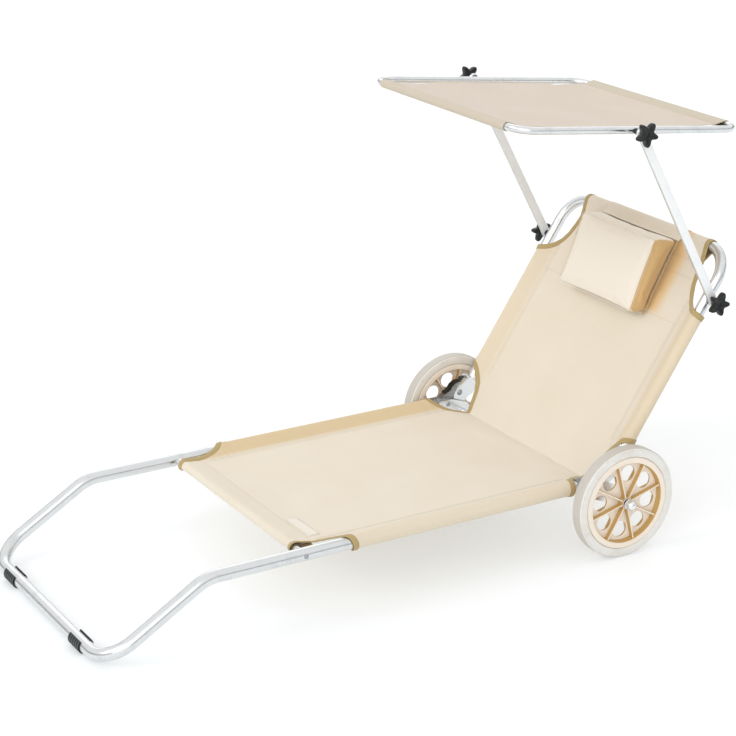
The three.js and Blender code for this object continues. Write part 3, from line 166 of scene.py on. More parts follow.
def arc(centre, radius, start, end, steps):
    """centre + radius (cos a, sin a) for a from start to end."""
    a = np.linspace(start, end, steps + 1)
    return np.stack([centre[0] + radius * np.cos(a), centre[1] + radius * np.sin(a)], axis=1)


def bent_path(corners, bends, steps=14):
    """A line through corners; each inner corner is an arc centre + R (cos a out + sin a along)."""
    corners = np.asarray(corners, float)
    stretches = [corners[:1]]
    for corner, before, after, bend in zip(corners[1:-1], corners[:-2], corners[2:], bends):
        back, on = unit(before - corner), unit(after - corner)
        half = math.acos(float(np.clip(back @ on, -1, 1))) / 2
        start = corner + back * bend / math.tan(half)
        centre = corner + unit(back + on) * bend / math.sin(half)
        a = np.linspace(0, math.pi - 2 * half, steps + 1)[:, None]
        stretches.append(centre + unit(start - centre) * bend * np.cos(a) - back * bend * np.sin(a))
    return np.concatenate(stretches + [corners[-1:]])


def waves(u, v, seed, count=9, longest=0.3):
    """A soft uneven height between about -1 and 1: a sum of sine waves of seeded direction and phase."""
    rng = np.random.default_rng(seed)
    total = np.zeros(np.broadcast(u, v).shape)
    for k in range(count):
        a, phase = rng.uniform(0, 2 * np.pi, 2)
        length = longest * rng.uniform(0.25, 1.0)
        total += length / longest * np.sin(2 * np.pi * (u * np.cos(a) + v * np.sin(a)) / length + phase)
    return total / (0.45 * count)


# Meshes


def grid_faces(rows, columns, close_rows, close_columns):
    """Corner numbers of the quads between neighbours of a grid, and their corners' places in its UV grid."""
    r, c = rows - (not close_rows), columns - (not close_columns)
    i, j = np.meshgrid(np.arange(r), np.arange(c), indexing="ij")
    places = np.stack([[i, j], [i + 1, j], [i + 1, j + 1], [i, j + 1]], axis=0)
    places = places.transpose(2, 3, 0, 1).reshape(-1, 4, 2)
    index = (places[..., 0] % rows) * columns + places[..., 1] % columns
    return index, places


class Shape:
    """Surfaces gathered into one mesh. A surface is an array of points (rows, columns, 3), with its
    cloth or tube coordinates in metres as UV, made from the mean spacing of rows and columns when none is given."""

    def __init__(self):
        self.points, self.faces, self.uvs, self.count = [], [], [], 0

    def grid(self, points, close_rows=False, close_columns=False, uv=None):
        points = np.asarray(points, float)
        rows, columns = points.shape[:2]
        index, places = grid_faces(rows, columns, close_rows, close_columns)
        if uv is None:
            down = np.linalg.norm(np.diff(points, axis=0, append=points[:1]), axis=2).mean(axis=1)
            over = np.linalg.norm(np.diff(points, axis=1, append=points[:, :1]), axis=2).mean(axis=0)
            u = np.concatenate([[0], np.cumsum(down)])
            v = np.concatenate([[0], np.cumsum(over)])
            corner_uv = np.stack([u[places[..., 0]], v[places[..., 1]]], axis=-1)
        else:
            corner_uv = uv[places[..., 0] % uv.shape[0], places[..., 1] % uv.shape[1]]
        self.points.append(points.reshape(-1, 3))
        self.faces.append(index + self.count)
        self.uvs.append(corner_uv.reshape(-1, 2))
        self.count += rows * columns
        return self

    def mesh(self, name, sharp=35.0, closed=True):
        points, faces = np.concatenate(self.points) + (0, MIDDLE_Y, 0), np.concatenate(self.faces)
        mesh = bpy.data.meshes.new(name)
        mesh.vertices.add(len(points))
        mesh.vertices.foreach_set("co", points.astype(np.float32).ravel())
        mesh.loops.add(faces.size)
        mesh.loops.foreach_set("vertex_index", faces.astype(np.int32).ravel())
        mesh.polygons.add(len(faces))
        mesh.polygons.foreach_set("loop_start", np.arange(0, faces.size, 4, dtype=np.int32))
        layer = mesh.uv_layers.new(name="UVMap")
        layer.uv.foreach_set("vector", np.concatenate(self.uvs).astype(np.float32).ravel())
        mesh.update(calc_edges=True)
        b = bmesh.new()
        b.from_mesh(mesh)
        bmesh.ops.remove_doubles(b, verts=b.verts, dist=2e-6)
        bmesh.ops.dissolve_degenerate(b, edges=b.edges, dist=1e-7)
        if closed:
            bmesh.ops.recalc_face_normals(b, faces=b.faces)
        b.to_mesh(mesh)
        b.free()
        mesh.polygons.foreach_set("use_smooth", np.ones(len(mesh.polygons), bool))
        mesh.set_sharp_from_angle(angle=math.radians(sharp))
        return mesh

    def piece(self, name, finish, sharp=35.0, closed=True):
        mesh = self.mesh(name, sharp, closed)
        mesh.materials.append(finish)
        thing = bpy.data.objects.new(name, mesh)
        bpy.context.scene.collection.objects.link(thing)
        return thing


def read(items, name):
    """A vector of each face or vertex of a mesh, as one array."""
    values = np.zeros(len(items) * 3, np.float32)
    items.foreach_get(name, values)
    return values.reshape(-1, 3)


def facing(mesh):
    """How far each face looks along Y, from 0 to 1."""
    return np.abs(read(mesh.polygons, "normal")[:, 1])


def middles(mesh, centre):
    """How far the faces' middles lie from a line along Y through (x, z), and their places along it."""
    points = read(mesh.polygons, "center")
    return np.hypot(points[:, 0] - centre[0], points[:, 2] - centre[1]), points[:, 1]


def second_finish(piece, name, picked):
    """Gives the picked faces another finish."""
    piece.data.materials.append(finish(name))
    piece.data.polygons.foreach_set("material_index", picked.astype(np.int32))


def make_sheet(name, look, points, f, s, thickness, wall="cloth_thickness"):
    """A sheet with its flat pattern (f, s) as UV and its thickness, half to each side."""
    uv = np.stack(np.broadcast_arrays(f, s), axis=-1)
    piece = Shape().grid(points, uv=uv).piece(name, finish(look), 60, False)
    solid = piece.modifiers.new(wall, "SOLIDIFY")
    solid.thickness, solid.offset = thickness, 0.0
    return piece


def swept(path, section, reference):
    """Points of a section (m, 2) carried along a path: path + a across + b up, where across is the
    reference made square to the path and up is square to both."""
    tangent = unit(np.gradient(path, axis=0))
    across = unit(reference - (tangent @ reference)[:, None] * tangent)
    up = np.cross(tangent, across)
    return path[:, None] + section[None, :, :1] * across[:, None] + section[None, :, 1:] * up[:, None]


def circle_section(radius, sides):
    a = np.arange(sides) * 2 * np.pi / sides
    return radius * np.stack([np.cos(a), np.sin(a)], axis=1)


def add_tube(shape, path, radius, wall, reference, sides=36):
    """A tube's outer and inner skins joined round both rims: the path is followed out at one radius and back at
    the other."""
    outer = swept(path, circle_section(radius, sides), reference)
    inner = swept(path, circle_section(radius - wall, sides), reference)[::-1]
    return shape.grid(np.concatenate([outer, inner]), close_rows=True, close_columns=True)


def add_turned(shape, profile, sides, side, close=False):
    """A profile of (radius, y) turned about the axle: r cos a, y, r sin a."""
    profile = np.asarray(profile, float)
    a = np.arange(sides) * 2 * np.pi / sides
    r, y = profile[:, :1], profile[:, 1:]
    points = np.stack([AXLE[0] + r * np.cos(a), side * y + 0 * a, AXLE[1] + r * np.sin(a)], axis=-1)
    return shape.grid(points, close_rows=close, close_columns=True)


def softened(profile, radius, steps=4, close=False):
    """A profile of straight lines with each corner rounded by that radius, or by less where its sides are short."""
    profile = np.asarray(profile, float)
    before, after = np.roll(profile, 1, axis=0), np.roll(profile, -1, axis=0)
    t = np.linspace(0, 1, steps + 1)[:, None]
    out = []
    for k, (p, q, r) in enumerate(zip(profile, before, after)):
        if not close and k in (0, len(profile) - 1):
            out.append(p[None])
            continue
        reach = min(radius, 0.45 * np.linalg.norm(q - p), 0.45 * np.linalg.norm(r - p))
        a, b = p + unit(q - p) * reach, p + unit(r - p) * reach
        out.append((1 - t) ** 2 * a + 2 * t * (1 - t) * p + t**2 * b)
    return np.concatenate(out)


# Shader maths


class Value:
    """A socket of a finish. Arithmetic on it adds Math nodes."""

    def __init__(self, finish, socket):
        self.finish, self.socket = finish, socket

    def maths(self, operation, *others):
        return self.finish.node("ShaderNodeMath", {"operation": operation}, self, *others)

    def __add__(self, other):
        return self.maths("ADD", other)

    def __sub__(self, other):
        return self.maths("SUBTRACT", other)

    def __rsub__(self, other):
        return self.finish.node("ShaderNodeMath", {"operation": "SUBTRACT"}, other, self)

    def __mul__(self, other):
        return self.maths("MULTIPLY", other)

    def __truediv__(self, other):
        return self.maths("DIVIDE", other)

    __radd__, __rmul__ = __add__, __mul__

    def sine(self):
        return self.maths("SINE")

    def absolute(self):
        return self.maths("ABSOLUTE")

    def band(self, low, high):
        """0 below low, 1 above high, smooth between."""
        limits = {"From Min": low, "From Max": high}
        return self.finish.node("ShaderNodeMapRange", {"interpolation_type": "SMOOTHSTEP"}, Value=self, **limits)


class Finish:
    """A material whose nodes are added by calls."""

    def __init__(self, name):
        self.material = bpy.data.materials.new(name)
        self.material.use_nodes = True
        self.tree = self.material.node_tree
        self.shader = self.tree.nodes["Principled BSDF"]

    def node(self, kind, settings, *inputs, output=None, **named):
        made = self.tree.nodes.new(kind)
        for key, value in settings.items():
            if key == "stops":
                for stop, (at, colour) in zip(self.ramp_stops(made, len(value)), value):
                    stop.position, stop.color = at, colour
            else:
                setattr(made, key, value)
        shown = [s for s in made.inputs if s.enabled]
        for socket, value in [*zip(shown, inputs), *((self.find(shown, n), v) for n, v in named.items())]:
            self.feed(socket, value)
        outputs = [s for s in made.outputs if s.enabled]
        return Value(self, self.find(outputs, output) if output else outputs[0])

    @staticmethod
    def ramp_stops(made, count):
        stops = made.color_ramp.elements
        while len(stops) < count:
            stops.new(0.5)
        return stops

    @staticmethod
    def find(sockets, name):
        return next(s for s in sockets if s.name == name)

    def feed(self, socket, value):
        if isinstance(value, Value):
            self.tree.links.new(value.socket, socket)
        else:
            socket.default_value = value

    def set(self, **values):
        """Sets or links the shader's own sockets; an underscore in a name stands for a space."""
        for name, value in values.items():
            self.feed(self.shader.inputs[name.replace("_", " ")], value)
        return self

    def cloth_map(self):
        """The piece's own UV, in metres along and across the cloth or tube."""
        uv = self.node("ShaderNodeTexCoord", {}, output="UV")
        return [uv, *self.split(uv)[:2]]

    def places(self):
        return self.node("ShaderNodeTexCoord", {}, output="Object")

    def split(self, vector):
        """The vector's three parts."""
        x = self.node("ShaderNodeSeparateXYZ", {}, vector)
        return [x, *(Value(self, self.find(x.socket.node.outputs, n)) for n in "YZ")]

    def now(self, name):
        """What already feeds that socket of the shader."""
        return Value(self, self.shader.inputs[name.replace("_", " ")].links[0].from_socket)

    def scaled(self, vector, by):
        return self.node("ShaderNodeMapping", {}, vector, Scale=by)

    def noise(self, vector, scale, detail=3.0, roughness=0.5):
        return self.node(
            "ShaderNodeTexNoise", {}, Vector=vector, Scale=scale, Detail=detail, Roughness=roughness, output="Fac"
        )

    def specks(self, scale, detail, roughness=0.5):
        """Noise that is fixed to the piece."""
        return self.noise(self.places(), scale, detail, roughness)

    def mixed(self, factor, first, second):
        """Two colours mixed, each a value or a display colour of six digits."""
        first, second = (linear(c) if isinstance(c, str) else c for c in (first, second))
        return self.node("ShaderNodeMix", {"data_type": "RGBA"}, Factor=factor, A=first, B=second, output="Result")

    def bump(self, height, strength, distance, under=None):
        values = {"Strength": strength, "Distance": distance, "Height": height}
        if under is not None:
            values["Normal"] = under
        return self.node("ShaderNodeBump", {}, **values)


def linear(hex_colour):
    """The linear colour of a display colour written as six hexadecimal digits."""
    parts = [int(hex_colour[i : i + 2], 16) / 255 for i in (0, 2, 4)]
    return tuple(p / 12.92 if p <= 0.04045 else ((p + 0.055) / 1.055) ** 2.4 for p in parts) + (1.0,)


def chosen(name, scale=1.0):
    """A maker of shades of the colour that the user chose: the colour times the scale times a share of each part."""
    colour = getattr(bpy.context.scene.lounger_cloth, name)
    return lambda *shares: tuple(min(c * scale * k, 1.0) for c, k in zip(colour, shares or (1, 1, 1))) + (1.0,)


FINISHES = {}


def finish(name):
    """The finish of that name, made the first time that it is asked for."""
    if name not in FINISHES:
        FINISHES[name] = MAKERS[name]().material
    return FINISHES[name]


def woven(name, light, dark, pitch=0.0009, tint=None, tinted=None):
    """Plain weave: the height is the product of two sets of threads' sines, with slubs along both. A tint of painted
    shade has its share over the cloth from the tinted function of its flat pattern."""
    f = Finish(name)
    uv, u, v = f.cloth_map()
    warp, weft = (u * (2 * math.pi / pitch)).sine(), (v * (2 * math.pi / pitch)).sine()
    weave = warp * weft
    slub = f.noise(f.scaled(uv, (60, 1400, 1)), 1.0, 2.0)
    slub_across = f.noise(f.scaled(uv, (1400, 60, 1)), 1.0, 2.0)
    cloudy = f.noise(uv, 7.0, 4.0, 0.55)
    tone = cloudy * 0.55 + slub * 0.25 + slub_across * 0.25 + weave * 0.06 - 0.06
    colour = f.mixed(tone, dark, light)
    if tint is not None:
        colour = f.mixed(tinted(u, v), colour, tint)
    return f.set(
        Base_Color=colour,
        Roughness=0.78 + slub * 0.14,
        Normal=f.bump(
            weave * 0.5 + slub * 0.6 + slub_across * 0.6, 0.35, 0.00025, f.bump(f.noise(uv, 22.0, 3.0), 0.25, 0.002)
        ),
        Sheen_Weight=0.25,
        Sheen_Roughness=0.4,
        Specular_IOR_Level=0.25,
    )


def seat_cloth():
    """The sleeves, where the cloth lies double round the rails, carry painted shade, on the seat's right most of all,
    and the cloth beside the pillow's left end carries painted warm light from it."""

    def sleeves(u, v):
        # Share of the painted shade on the sleeves, by place in the flat pattern
        on_back = u.band(F_NOTCH, F_NOTCH + 0.15)
        right = v.band(SEAM_Y - 0.003, SEAM_Y + 0.010)
        left = (v * -1.0).band(SEAM_Y + 0.010, SEAM_Y + 0.034)
        return right * (0.95 - on_back * 0.62) + left * (on_back * 0.25 + 0.25)

    cloth = chosen("seat_colour")
    # The tint is the colour of the painted shade on the sleeves
    f = woven("seat_weave", cloth(), cloth(0.89, 0.83, 0.74), tint=cloth(0.83, 0.70, 0.49), tinted=sleeves)
    u, v = f.cloth_map()[1:]
    low, high = back_at(PILLOW_BASE[0]), back_at(PILLOW_BASE[0] + PILLOW_HEIGHT)
    # Painted warm light: an orange glow on the cloth beside the pillow's left end
    beside = (v * -1.0).band(0.110, 0.130) * (1.0 - (v * -1.0).band(0.144, 0.182))
    glow = beside * u.band(low + 0.012, low + 0.034) * (1.0 - u.band(high - 0.010, high + 0.040))
    return f.set(Base_Color=f.mixed(glow * 0.62, f.now("Base_Color"), "E2B054"))


def canopy_cloth():
    """The hems, where the cloth lies double, carry a greyer painted shade."""

    def hems(u, v):
        near = u.band(2 * CANOPY_REACH + 0.0270, 2 * CANOPY_REACH + 0.0290)
        far = u.band(CANOPY_END - 2 * CANOPY_REACH - 0.0290, CANOPY_END - 2 * CANOPY_REACH - 0.0270)
        return (1.0 - near) * 0.9 + far * 0.65

    cloth = chosen("canopy_colour")
    # The tint is the colour of the painted shade on the hems
    return woven("canopy_weave", cloth(), cloth(0.85, 0.80, 0.73), tint=cloth(0.80, 0.81, 0.72), tinted=hems)


def pillow_cloth():
    """The side bands, beyond the drawn-in edge of the faces, carry a darker painted shade."""
    # The pillow's cloth is made lighter than the seat's as painted light against the canopy's shadow
    cloth = chosen("seat_colour", 1.08)
    f, up = woven("pillow_weave", cloth(1.0, 1.02, 1.06), cloth(0.89, 0.85, 0.80)), PILLOW.axes[0]
    x, y, z = f.split(f.places())
    (x0, _, z0), (up_x, _, up_z) = PILLOW.origin.tolist(), up.tolist()
    along = ((x - x0) * up_x + (z - z0) * up_z) / (PILLOW_HEIGHT / 2) - 1.0
    edge = (1.0 - (1.0 - along * along) * 0.03) * (PILLOW_WIDTH / 2 * 0.936)
    beyond = (y - MIDDLE_Y).absolute() - edge
    near = (y - MIDDLE_Y).band(-0.001, 0.001)
    # Share of the painted shade on the side bands, starting a little sooner on one side
    side = (beyond + near * -0.0026).band(-0.0020, 0.0022)
    return f.set(Base_Color=f.mixed(side, f.now("Base_Color"), "CBA976"))


def binding_tape():
    """Ribbed tape: fine ribs across its length, a little glossier than the cloth."""
    f = Finish("edge_tape")
    uv, u = f.cloth_map()[:2]
    ribs = (u * (2 * math.pi / 0.0011)).sine()
    fuzz = f.noise(f.scaled(uv, (900, 300, 1)), 1.0, 2.0)
    tape = chosen("binding_colour")
    return f.set(
        Base_Color=f.mixed(fuzz * 0.7 + ribs * 0.15 + 0.1, tape(0.67, 0.64, 0.51), tape()),
        Roughness=0.62 + fuzz * 0.2,
        Normal=f.bump(ribs * 0.5 + fuzz * 0.5, 0.5, 0.0002),
        Sheen_Weight=0.2,
        Specular_IOR_Level=0.3,
    )


def thread():
    """Sewing thread: two plies that wind round each other."""
    f = Finish("sewing_thread")
    u, v = f.cloth_map()[1:]
    ply = ((u + v) * (2 * math.pi / 0.0006)).sine()
    return f.set(
        Base_Color=f.mixed(ply * 0.5 + 0.5, "92794E", "B39C70"),
        Roughness=0.6 + ply * 0.08,
        Normal=f.bump(ply, 0.3, 0.0001),
        Sheen_Weight=0.3,
    )


def satin_aluminium():
    """Drawn and anodised tube: fine streaks along its length, faint handling marks."""
    f = Finish("satin_aluminium")
    streaks = f.noise(f.scaled(f.cloth_map()[0], (9, 1500, 1)), 1.0, 3.0)
    marks = f.specks(38.0, 5.0, 0.6).band(0.45, 0.8)
    return f.set(
        Base_Color=f.mixed(marks * 0.6 + streaks * 0.4, "E2E4E5", "CBCED0"),
        Metallic=1.0,
        Roughness=0.20 + streaks * 0.12 + marks * 0.06,
        Normal=f.bump(streaks, 0.12, 0.00008),
    )


def matt_aluminium():
    """Blasted and anodised bar: nearly white, a fine even grain."""
    f = Finish("matt_aluminium")
    grain = f.specks(900.0, 3.0)
    marks = f.specks(30.0, 5.0, 0.6).band(0.45, 0.8)
    return f.set(
        Base_Color=f.mixed(marks * 0.5 + grain * 0.3, "F0F1F1", "E2E3E4"),
        Metallic=0.15,
        Roughness=0.42 + grain * 0.14,
        Normal=f.bump(grain, 0.12, 0.0001),
    )


def bright_steel():
    """Plated pressed steel: bright, with a slight orange-peel and darker specks."""
    f = Finish("bright_steel")
    spots = f.specks(420.0, 3.0).band(0.62, 0.8)
    swell = f.specks(90.0, 2.0)
    return f.set(
        Base_Color=f.mixed(spots * 0.5 + swell * 0.2, "EEF0F2", "C3C6CB"),
        Metallic=1.0,
        Roughness=0.16 + swell * 0.14 + spots * 0.1,
        Normal=f.bump(swell, 0.12, 0.0006),
    )


def dull_steel():
    """Darker heads of screws and rivets: brushed round, with grime in the scratches."""
    f = Finish("dull_steel")
    grime = f.specks(600.0, 4.0, 0.6).band(0.35, 0.75)
    return f.set(
        Base_Color=f.mixed(grime, "B4B7BC", "63666B"),
        Metallic=1.0,
        Roughness=0.30 + grime * 0.2,
        Normal=f.bump(grime, 0.2, 0.0002),
    )


def black_plastic():
    """Moulded nylon with a fine eroded grain."""
    f = Finish("black_plastic")
    grain = f.specks(1500.0, 2.0)
    rubbed = f.specks(60.0, 4.0, 0.6).band(0.5, 0.8)
    return f.set(
        Base_Color=f.mixed(rubbed * 0.6, "181A1A", "2A2D2D"),
        Roughness=0.24 + grain * 0.12 - rubbed * 0.04,
        Normal=f.bump(grain, 0.2, 0.0002),
        Specular_IOR_Level=0.35,
    )


def moulded(name, light, dark):
    """Polypropylene: slight flow marks and a fine grain."""
    f = Finish(name)
    flow = f.noise(f.scaled(f.places(), (14, 40, 14)), 1.0, 4.0, 0.6)
    grain = f.specks(1100.0, 2.0)
    return f.set(
        Base_Color=f.mixed(flow, dark, light),
        Roughness=0.34 + grain * 0.12 + flow * 0.06,
        Normal=f.bump(grain * 0.4 + flow * 0.6, 0.15, 0.0004),
        Specular_IOR_Level=0.5,
    )


def pale_tyre():
    """Off-white foamed tyre: matt, finely pitted, a little dust."""
    f = Finish("pale_tyre")
    pits = f.specks(700.0, 3.0)
    dust = f.specks(24.0, 5.0, 0.6).band(0.4, 0.75)
    return f.set(
        Base_Color=f.mixed(dust * 0.6 + pits * 0.25, "E2E0DB", "D1CCC3"),
        Roughness=0.55 + pits * 0.2,
        Normal=f.bump(pits, 0.25, 0.0003),
        Specular_IOR_Level=0.4,
    )


def floor_paint():
    """Plain pale studio floor with a barely uneven gloss."""
    f = Finish("studio_floor")
    cloud = f.specks(1.5, 2.0)
    f.set(Base_Color=(0.605, 0.62, 0.63, 1), Roughness=0.6 + cloud * 0.1, Specular_IOR_Level=0.2)
    f.set(Emission_Color=(0.985, 1, 1, 1), Emission_Strength=0.36)
    return f


def moulded_in(name, light, dark):
    return lambda: moulded(name, light, dark)


def wheel_plastic():
    wheel = chosen("wheel_colour")
    # Walls and ribs keep this darker tan as painted shade; the rim's faces get a paler copy as painted light
    return moulded("wheel_plastic", wheel(), wheel(0.86, 0.76, 0.62))


# Rim faces paler as painted light, walls and ribs darker as painted shade; tread greyer; clip rib tops a painted
# highlight
MAKERS = {
    "seat_cloth": seat_cloth,
    "canopy_cloth": canopy_cloth,
    "pillow_cloth": pillow_cloth,
    "label": lambda: woven("label_ribbon", "E9E4DA", "DED5C7", pitch=0.0006),
    "binding_tape": binding_tape,
    "thread": thread,
    "aluminium_tube": satin_aluminium,
    "arm_bar": matt_aluminium,
    "zinc_steel": bright_steel,
    "dull_steel": dull_steel,
    "black_plastic": black_plastic,
    "wheel_plastic": wheel_plastic,
    "painted_lit_face": moulded_in("wheel_plastic_pale", "EDE3D7", "E7D9C7"),
    "pale_tyre": pale_tyre,
    "tread": moulded_in("dusty_tread", "C9C4BC", "B7B1A8"),
    "painted_rib_highlight": moulded_in("rubbed_black", "4E5151", "3A3D3D"),
    "floor": floor_paint,
}


# Cloth of seat and back: a flat pattern in along (f) and out from the middle (s), laid over the frame

CLOTH = 0.0012
PLAY = 0.0010
PITCH = 0.0005
EDGE_STEP = 0.004
STITCH_SHARE = 0.64
FLAP = 0.0010
RIBBON = 0.0005
ON_CLOTH = 0.0001
SAG = 0.007


def sleeve_line(centre, radius, reach, layer):
    """From the sheet's seam round a tube and back to the seam, as (outwards, up): two tangents and an arc."""
    lean = math.acos(radius / reach)
    start = math.pi - lean
    seam = np.array([centre[0] - reach, centre[1] + layer])
    return np.concatenate(
        [seam[None], arc(centre, radius, start, -start, 40), [[centre[0] - reach, centre[1] - layer]]]
    )


def along_line():
    """Side view of the cloth from the front hem's inner edge to the top hem's inner edge: points in X and Z."""
    layer = 0.6 * CLOTH
    hem = sleeve_line((0, 0), SEAT_TUBE_R + PLAY + CLOTH / 2, SEAM_REACH, layer)[::-1]
    front = np.stack([SEAT_TUBE_X - hem[:, 0], RAIL_Z + hem[:, 1]], axis=1)
    notch = MEETING_X - NOTCH
    x = np.linspace(notch, FOLD_X, 20)
    seat = np.stack([x, RAIL_Z - (RAIL_Z - FOLD_Z) * ((x - notch) / (FOLD_X - notch)) ** 2], axis=1)
    fold = BACK.inverse([[FOLD_X, 0, FOLD_Z]])[0]
    upper = NOTCH - PIN_ALONG
    x = np.linspace(fold[0], upper, 20)[1:]
    z = BACK_Z + (fold[2] - BACK_Z) * ((upper - x) / (upper - fold[0])) ** 2
    top = sleeve_line((BACK_LENGTH, BACK_Z), BACK_R + PLAY + CLOTH / 2, SEAM_REACH, layer)
    local = np.concatenate([np.stack([x, z], axis=1), top])
    back = BACK(np.stack([local[:, 0], 0 * local[:, 0], local[:, 1]], axis=1))[:, [0, 2]]
    return evened(np.concatenate([front, seat, back]), 0.0016, PITCH)


def across_line(tube_radius):
    """End view of the right half, from the middle to the seam under the rail: points in Y and height."""
    sleeve = sleeve_line((RAIL_Y, 0), tube_radius + PLAY + CLOTH / 2, SEAM_REACH, 0.6 * CLOTH)
    return evened(np.concatenate([[[0, 0], [SEAM_Y - 0.01, 0]], sleeve]), 0.0012, PITCH)


ALONG = along_line()
ACROSS_SEAT, ACROSS_BACK = across_line(RAIL_R), across_line(BACK_R)
F_END = (len(ALONG) - 1) * PITCH


def along_at(x, z):
    """Distance along the side view at which it passes nearest to a point."""
    return float(np.argmin((ALONG[:, 0] - x) ** 2 + (ALONG[:, 1] - z) ** 2)) * PITCH


def back_at(x):
    p = BACK([x, 0, BACK_Z])
    return along_at(p[0], p[2])


F_FOLD = along_at(FOLD_X, FOLD_Z)
F_SEAM = along_at(SEAT_TUBE_X + SEAM_REACH, RAIL_Z + 0.001)
F_NOTCH = along_at(MEETING_X - NOTCH, RAIL_Z)
F_BACK_NOTCH = back_at(NOTCH - PIN_ALONG)
F_TOP_SEAM = back_at(BACK_LENGTH - SEAM_REACH - 0.002)
FULL_SEAT = (len(ACROSS_SEAT) - 1) * PITCH
FULL_BACK = (len(ACROSS_BACK) - 1) * PITCH
F_FRONT = along_at(SEAT_TUBE_X + 0.056, RAIL_Z)
F_TOP = back_at(BACK_LENGTH - 0.150)
SLEEVE_ENDS = (F_FRONT + 0.058, F_NOTCH, F_BACK_NOTCH, F_TOP)


def eased(x, low, high):
    t = np.clip((x - low) / (high - low), 0, 1)
    return t * t * (3 - 2 * t)


def followed(line, at):
    """Both coordinates of a line drawn in steps of PITCH, at the given distances along it."""
    grid = np.arange(len(line)) * PITCH
    return [np.interp(at, grid, line[:, k]) for k in (0, 1)]


def lounger_cloth_at(f, s):
    """Middle of the cloth at (f, s) of its flat pattern: side view at f, moved out and up along the side view's
    square by the end view at |s|, minus the sag, plus creases."""
    base = np.stack(followed(ALONG, f), axis=-1)
    tangent = unit(np.stack(followed(np.gradient(ALONG, axis=0), f), axis=-1))
    square = np.stack([-tangent[..., 1], tangent[..., 0]], axis=-1)
    m = eased(f, F_NOTCH, F_BACK_NOTCH)
    size = np.abs(s)
    (ys, zs), (yb, zb) = followed(ACROSS_SEAT, size), followed(ACROSS_BACK, size)
    y, rise = ys + (yb - ys) * m, zs + (zb - zs) * m
    full = FULL_SEAT + (FULL_BACK - FULL_SEAT) * m
    mouth = sum(bell(f, end, 0.009) for end in SLEEVE_ENDS)
    opened = 0.0017 * mouth * eased(size, SEAM_Y + 0.012, SEAM_Y + 0.03) * (1 - eased(size, full - 0.04, full - 0.02))
    from_tube = np.maximum(np.hypot(y - RAIL_Y, rise), 0.005)
    y, rise = y + opened * (y - RAIL_Y) / from_tube, rise + opened * rise / from_tube
    across = np.clip(1 - (y / SEAM_Y) ** 2, 0, 1)
    seat = eased(f, F_SEAM - 0.03, F_SEAM + 0.08) * (1 - eased(f, F_NOTCH, F_FOLD))
    back = eased(f, F_FOLD, F_BACK_NOTCH) * (1 - eased(f, F_TOP_SEAM - 0.08, F_TOP_SEAM + 0.03))
    sag = (SAG * seat + SAG * back) * across
    drawn = bell(size, SEAM_Y, 0.022)
    pucker = 0.00035 * drawn * np.sin(2 * np.pi * f / 0.019 + 1.7 * np.sin(f * 31) + np.sign(s))
    tension = 0.0012 * across**0.5 * waves(f * 0.6, s, 4, 9, 0.34) * (seat + back)
    crease = 0.0016 * bell(f, F_FOLD, 0.05) * across**0.5 * waves(f * 2.0, s, 11, 9, 0.16)
    lift = rise - sag + pucker + tension + crease
    x = base[..., 0] + square[..., 0] * lift
    z = base[..., 1] + square[..., 1] * lift
    return np.stack([x, np.sign(s) * y, z], axis=-1)


def smooth_through(points, steps=12):
    """A curve through control points, each stretch a cubic with the neighbours' slope."""
    p = np.asarray(points, float)
    padded = np.concatenate([2 * p[:1] - p[1:2], p, 2 * p[-1:] - p[-2:-1]])
    t = np.linspace(0, 1, steps, endpoint=False)[:, None]
    out = []
    for a, b, c, d in zip(padded, padded[1:], padded[2:], padded[3:]):
        out.append(0.5 * (2 * b + (c - a) * t + (2 * a - 5 * b + 4 * c - d) * t**2 + (3 * b - a - 3 * c + d) * t**3))
    return np.concatenate(out + [p[-1:]])


def corner_edges():
    """The cloth's right-hand outline in its flat pattern, from the front hem to the top hem, as (f, s)."""
    on_hem = along_at(SEAT_TUBE_X - SEAT_TUBE_R, RAIL_Z)
    front = [
        (0.0, 0.2525), (on_hem - 0.03, 0.2540), (on_hem, 0.2550), (on_hem + 0.012, 0.2555),
        (on_hem + 0.030, 0.2575), (on_hem + 0.048, 0.2610), (F_FRONT, 0.266), (F_FRONT + 0.026, 0.277),
        (F_FRONT + 0.044, 0.294), (F_FRONT + 0.053, 0.316), (F_FRONT + 0.057, 0.345), (F_FRONT + 0.058, FULL_SEAT),
    ]
    notch = [
        (F_NOTCH - 0.001, FULL_SEAT), (F_NOTCH, 0.335), (F_NOTCH + 0.003, 0.304), (F_NOTCH + 0.012, 0.277),
        (F_NOTCH + 0.030, 0.252), (F_NOTCH + 0.052, 0.233), (F_FOLD, 0.2235), (F_FOLD + 0.018, 0.2330),
        (F_BACK_NOTCH - 0.056, 0.2560), (F_BACK_NOTCH - 0.034, 0.2730), (F_BACK_NOTCH - 0.017, 0.2900),
        (F_BACK_NOTCH - 0.006, 0.3080), (F_BACK_NOTCH - 0.002, 0.330), (F_BACK_NOTCH + 0.001, FULL_BACK),
    ]
    top = [
        (F_TOP - 0.003, FULL_BACK), (F_TOP - 0.002, 0.335), (F_TOP, 0.306), (F_TOP + 0.008, 0.281),
        (F_TOP + 0.024, 0.258), (F_TOP + 0.050, 0.240), (F_TOP + 0.082, 0.2305), (F_TOP + 0.112, 0.2265),
        (F_TOP + 0.160, 0.226), (F_END, 0.222),
    ]
    return [smooth_through(part) for part in (front, notch, top)]


EDGES = corner_edges()


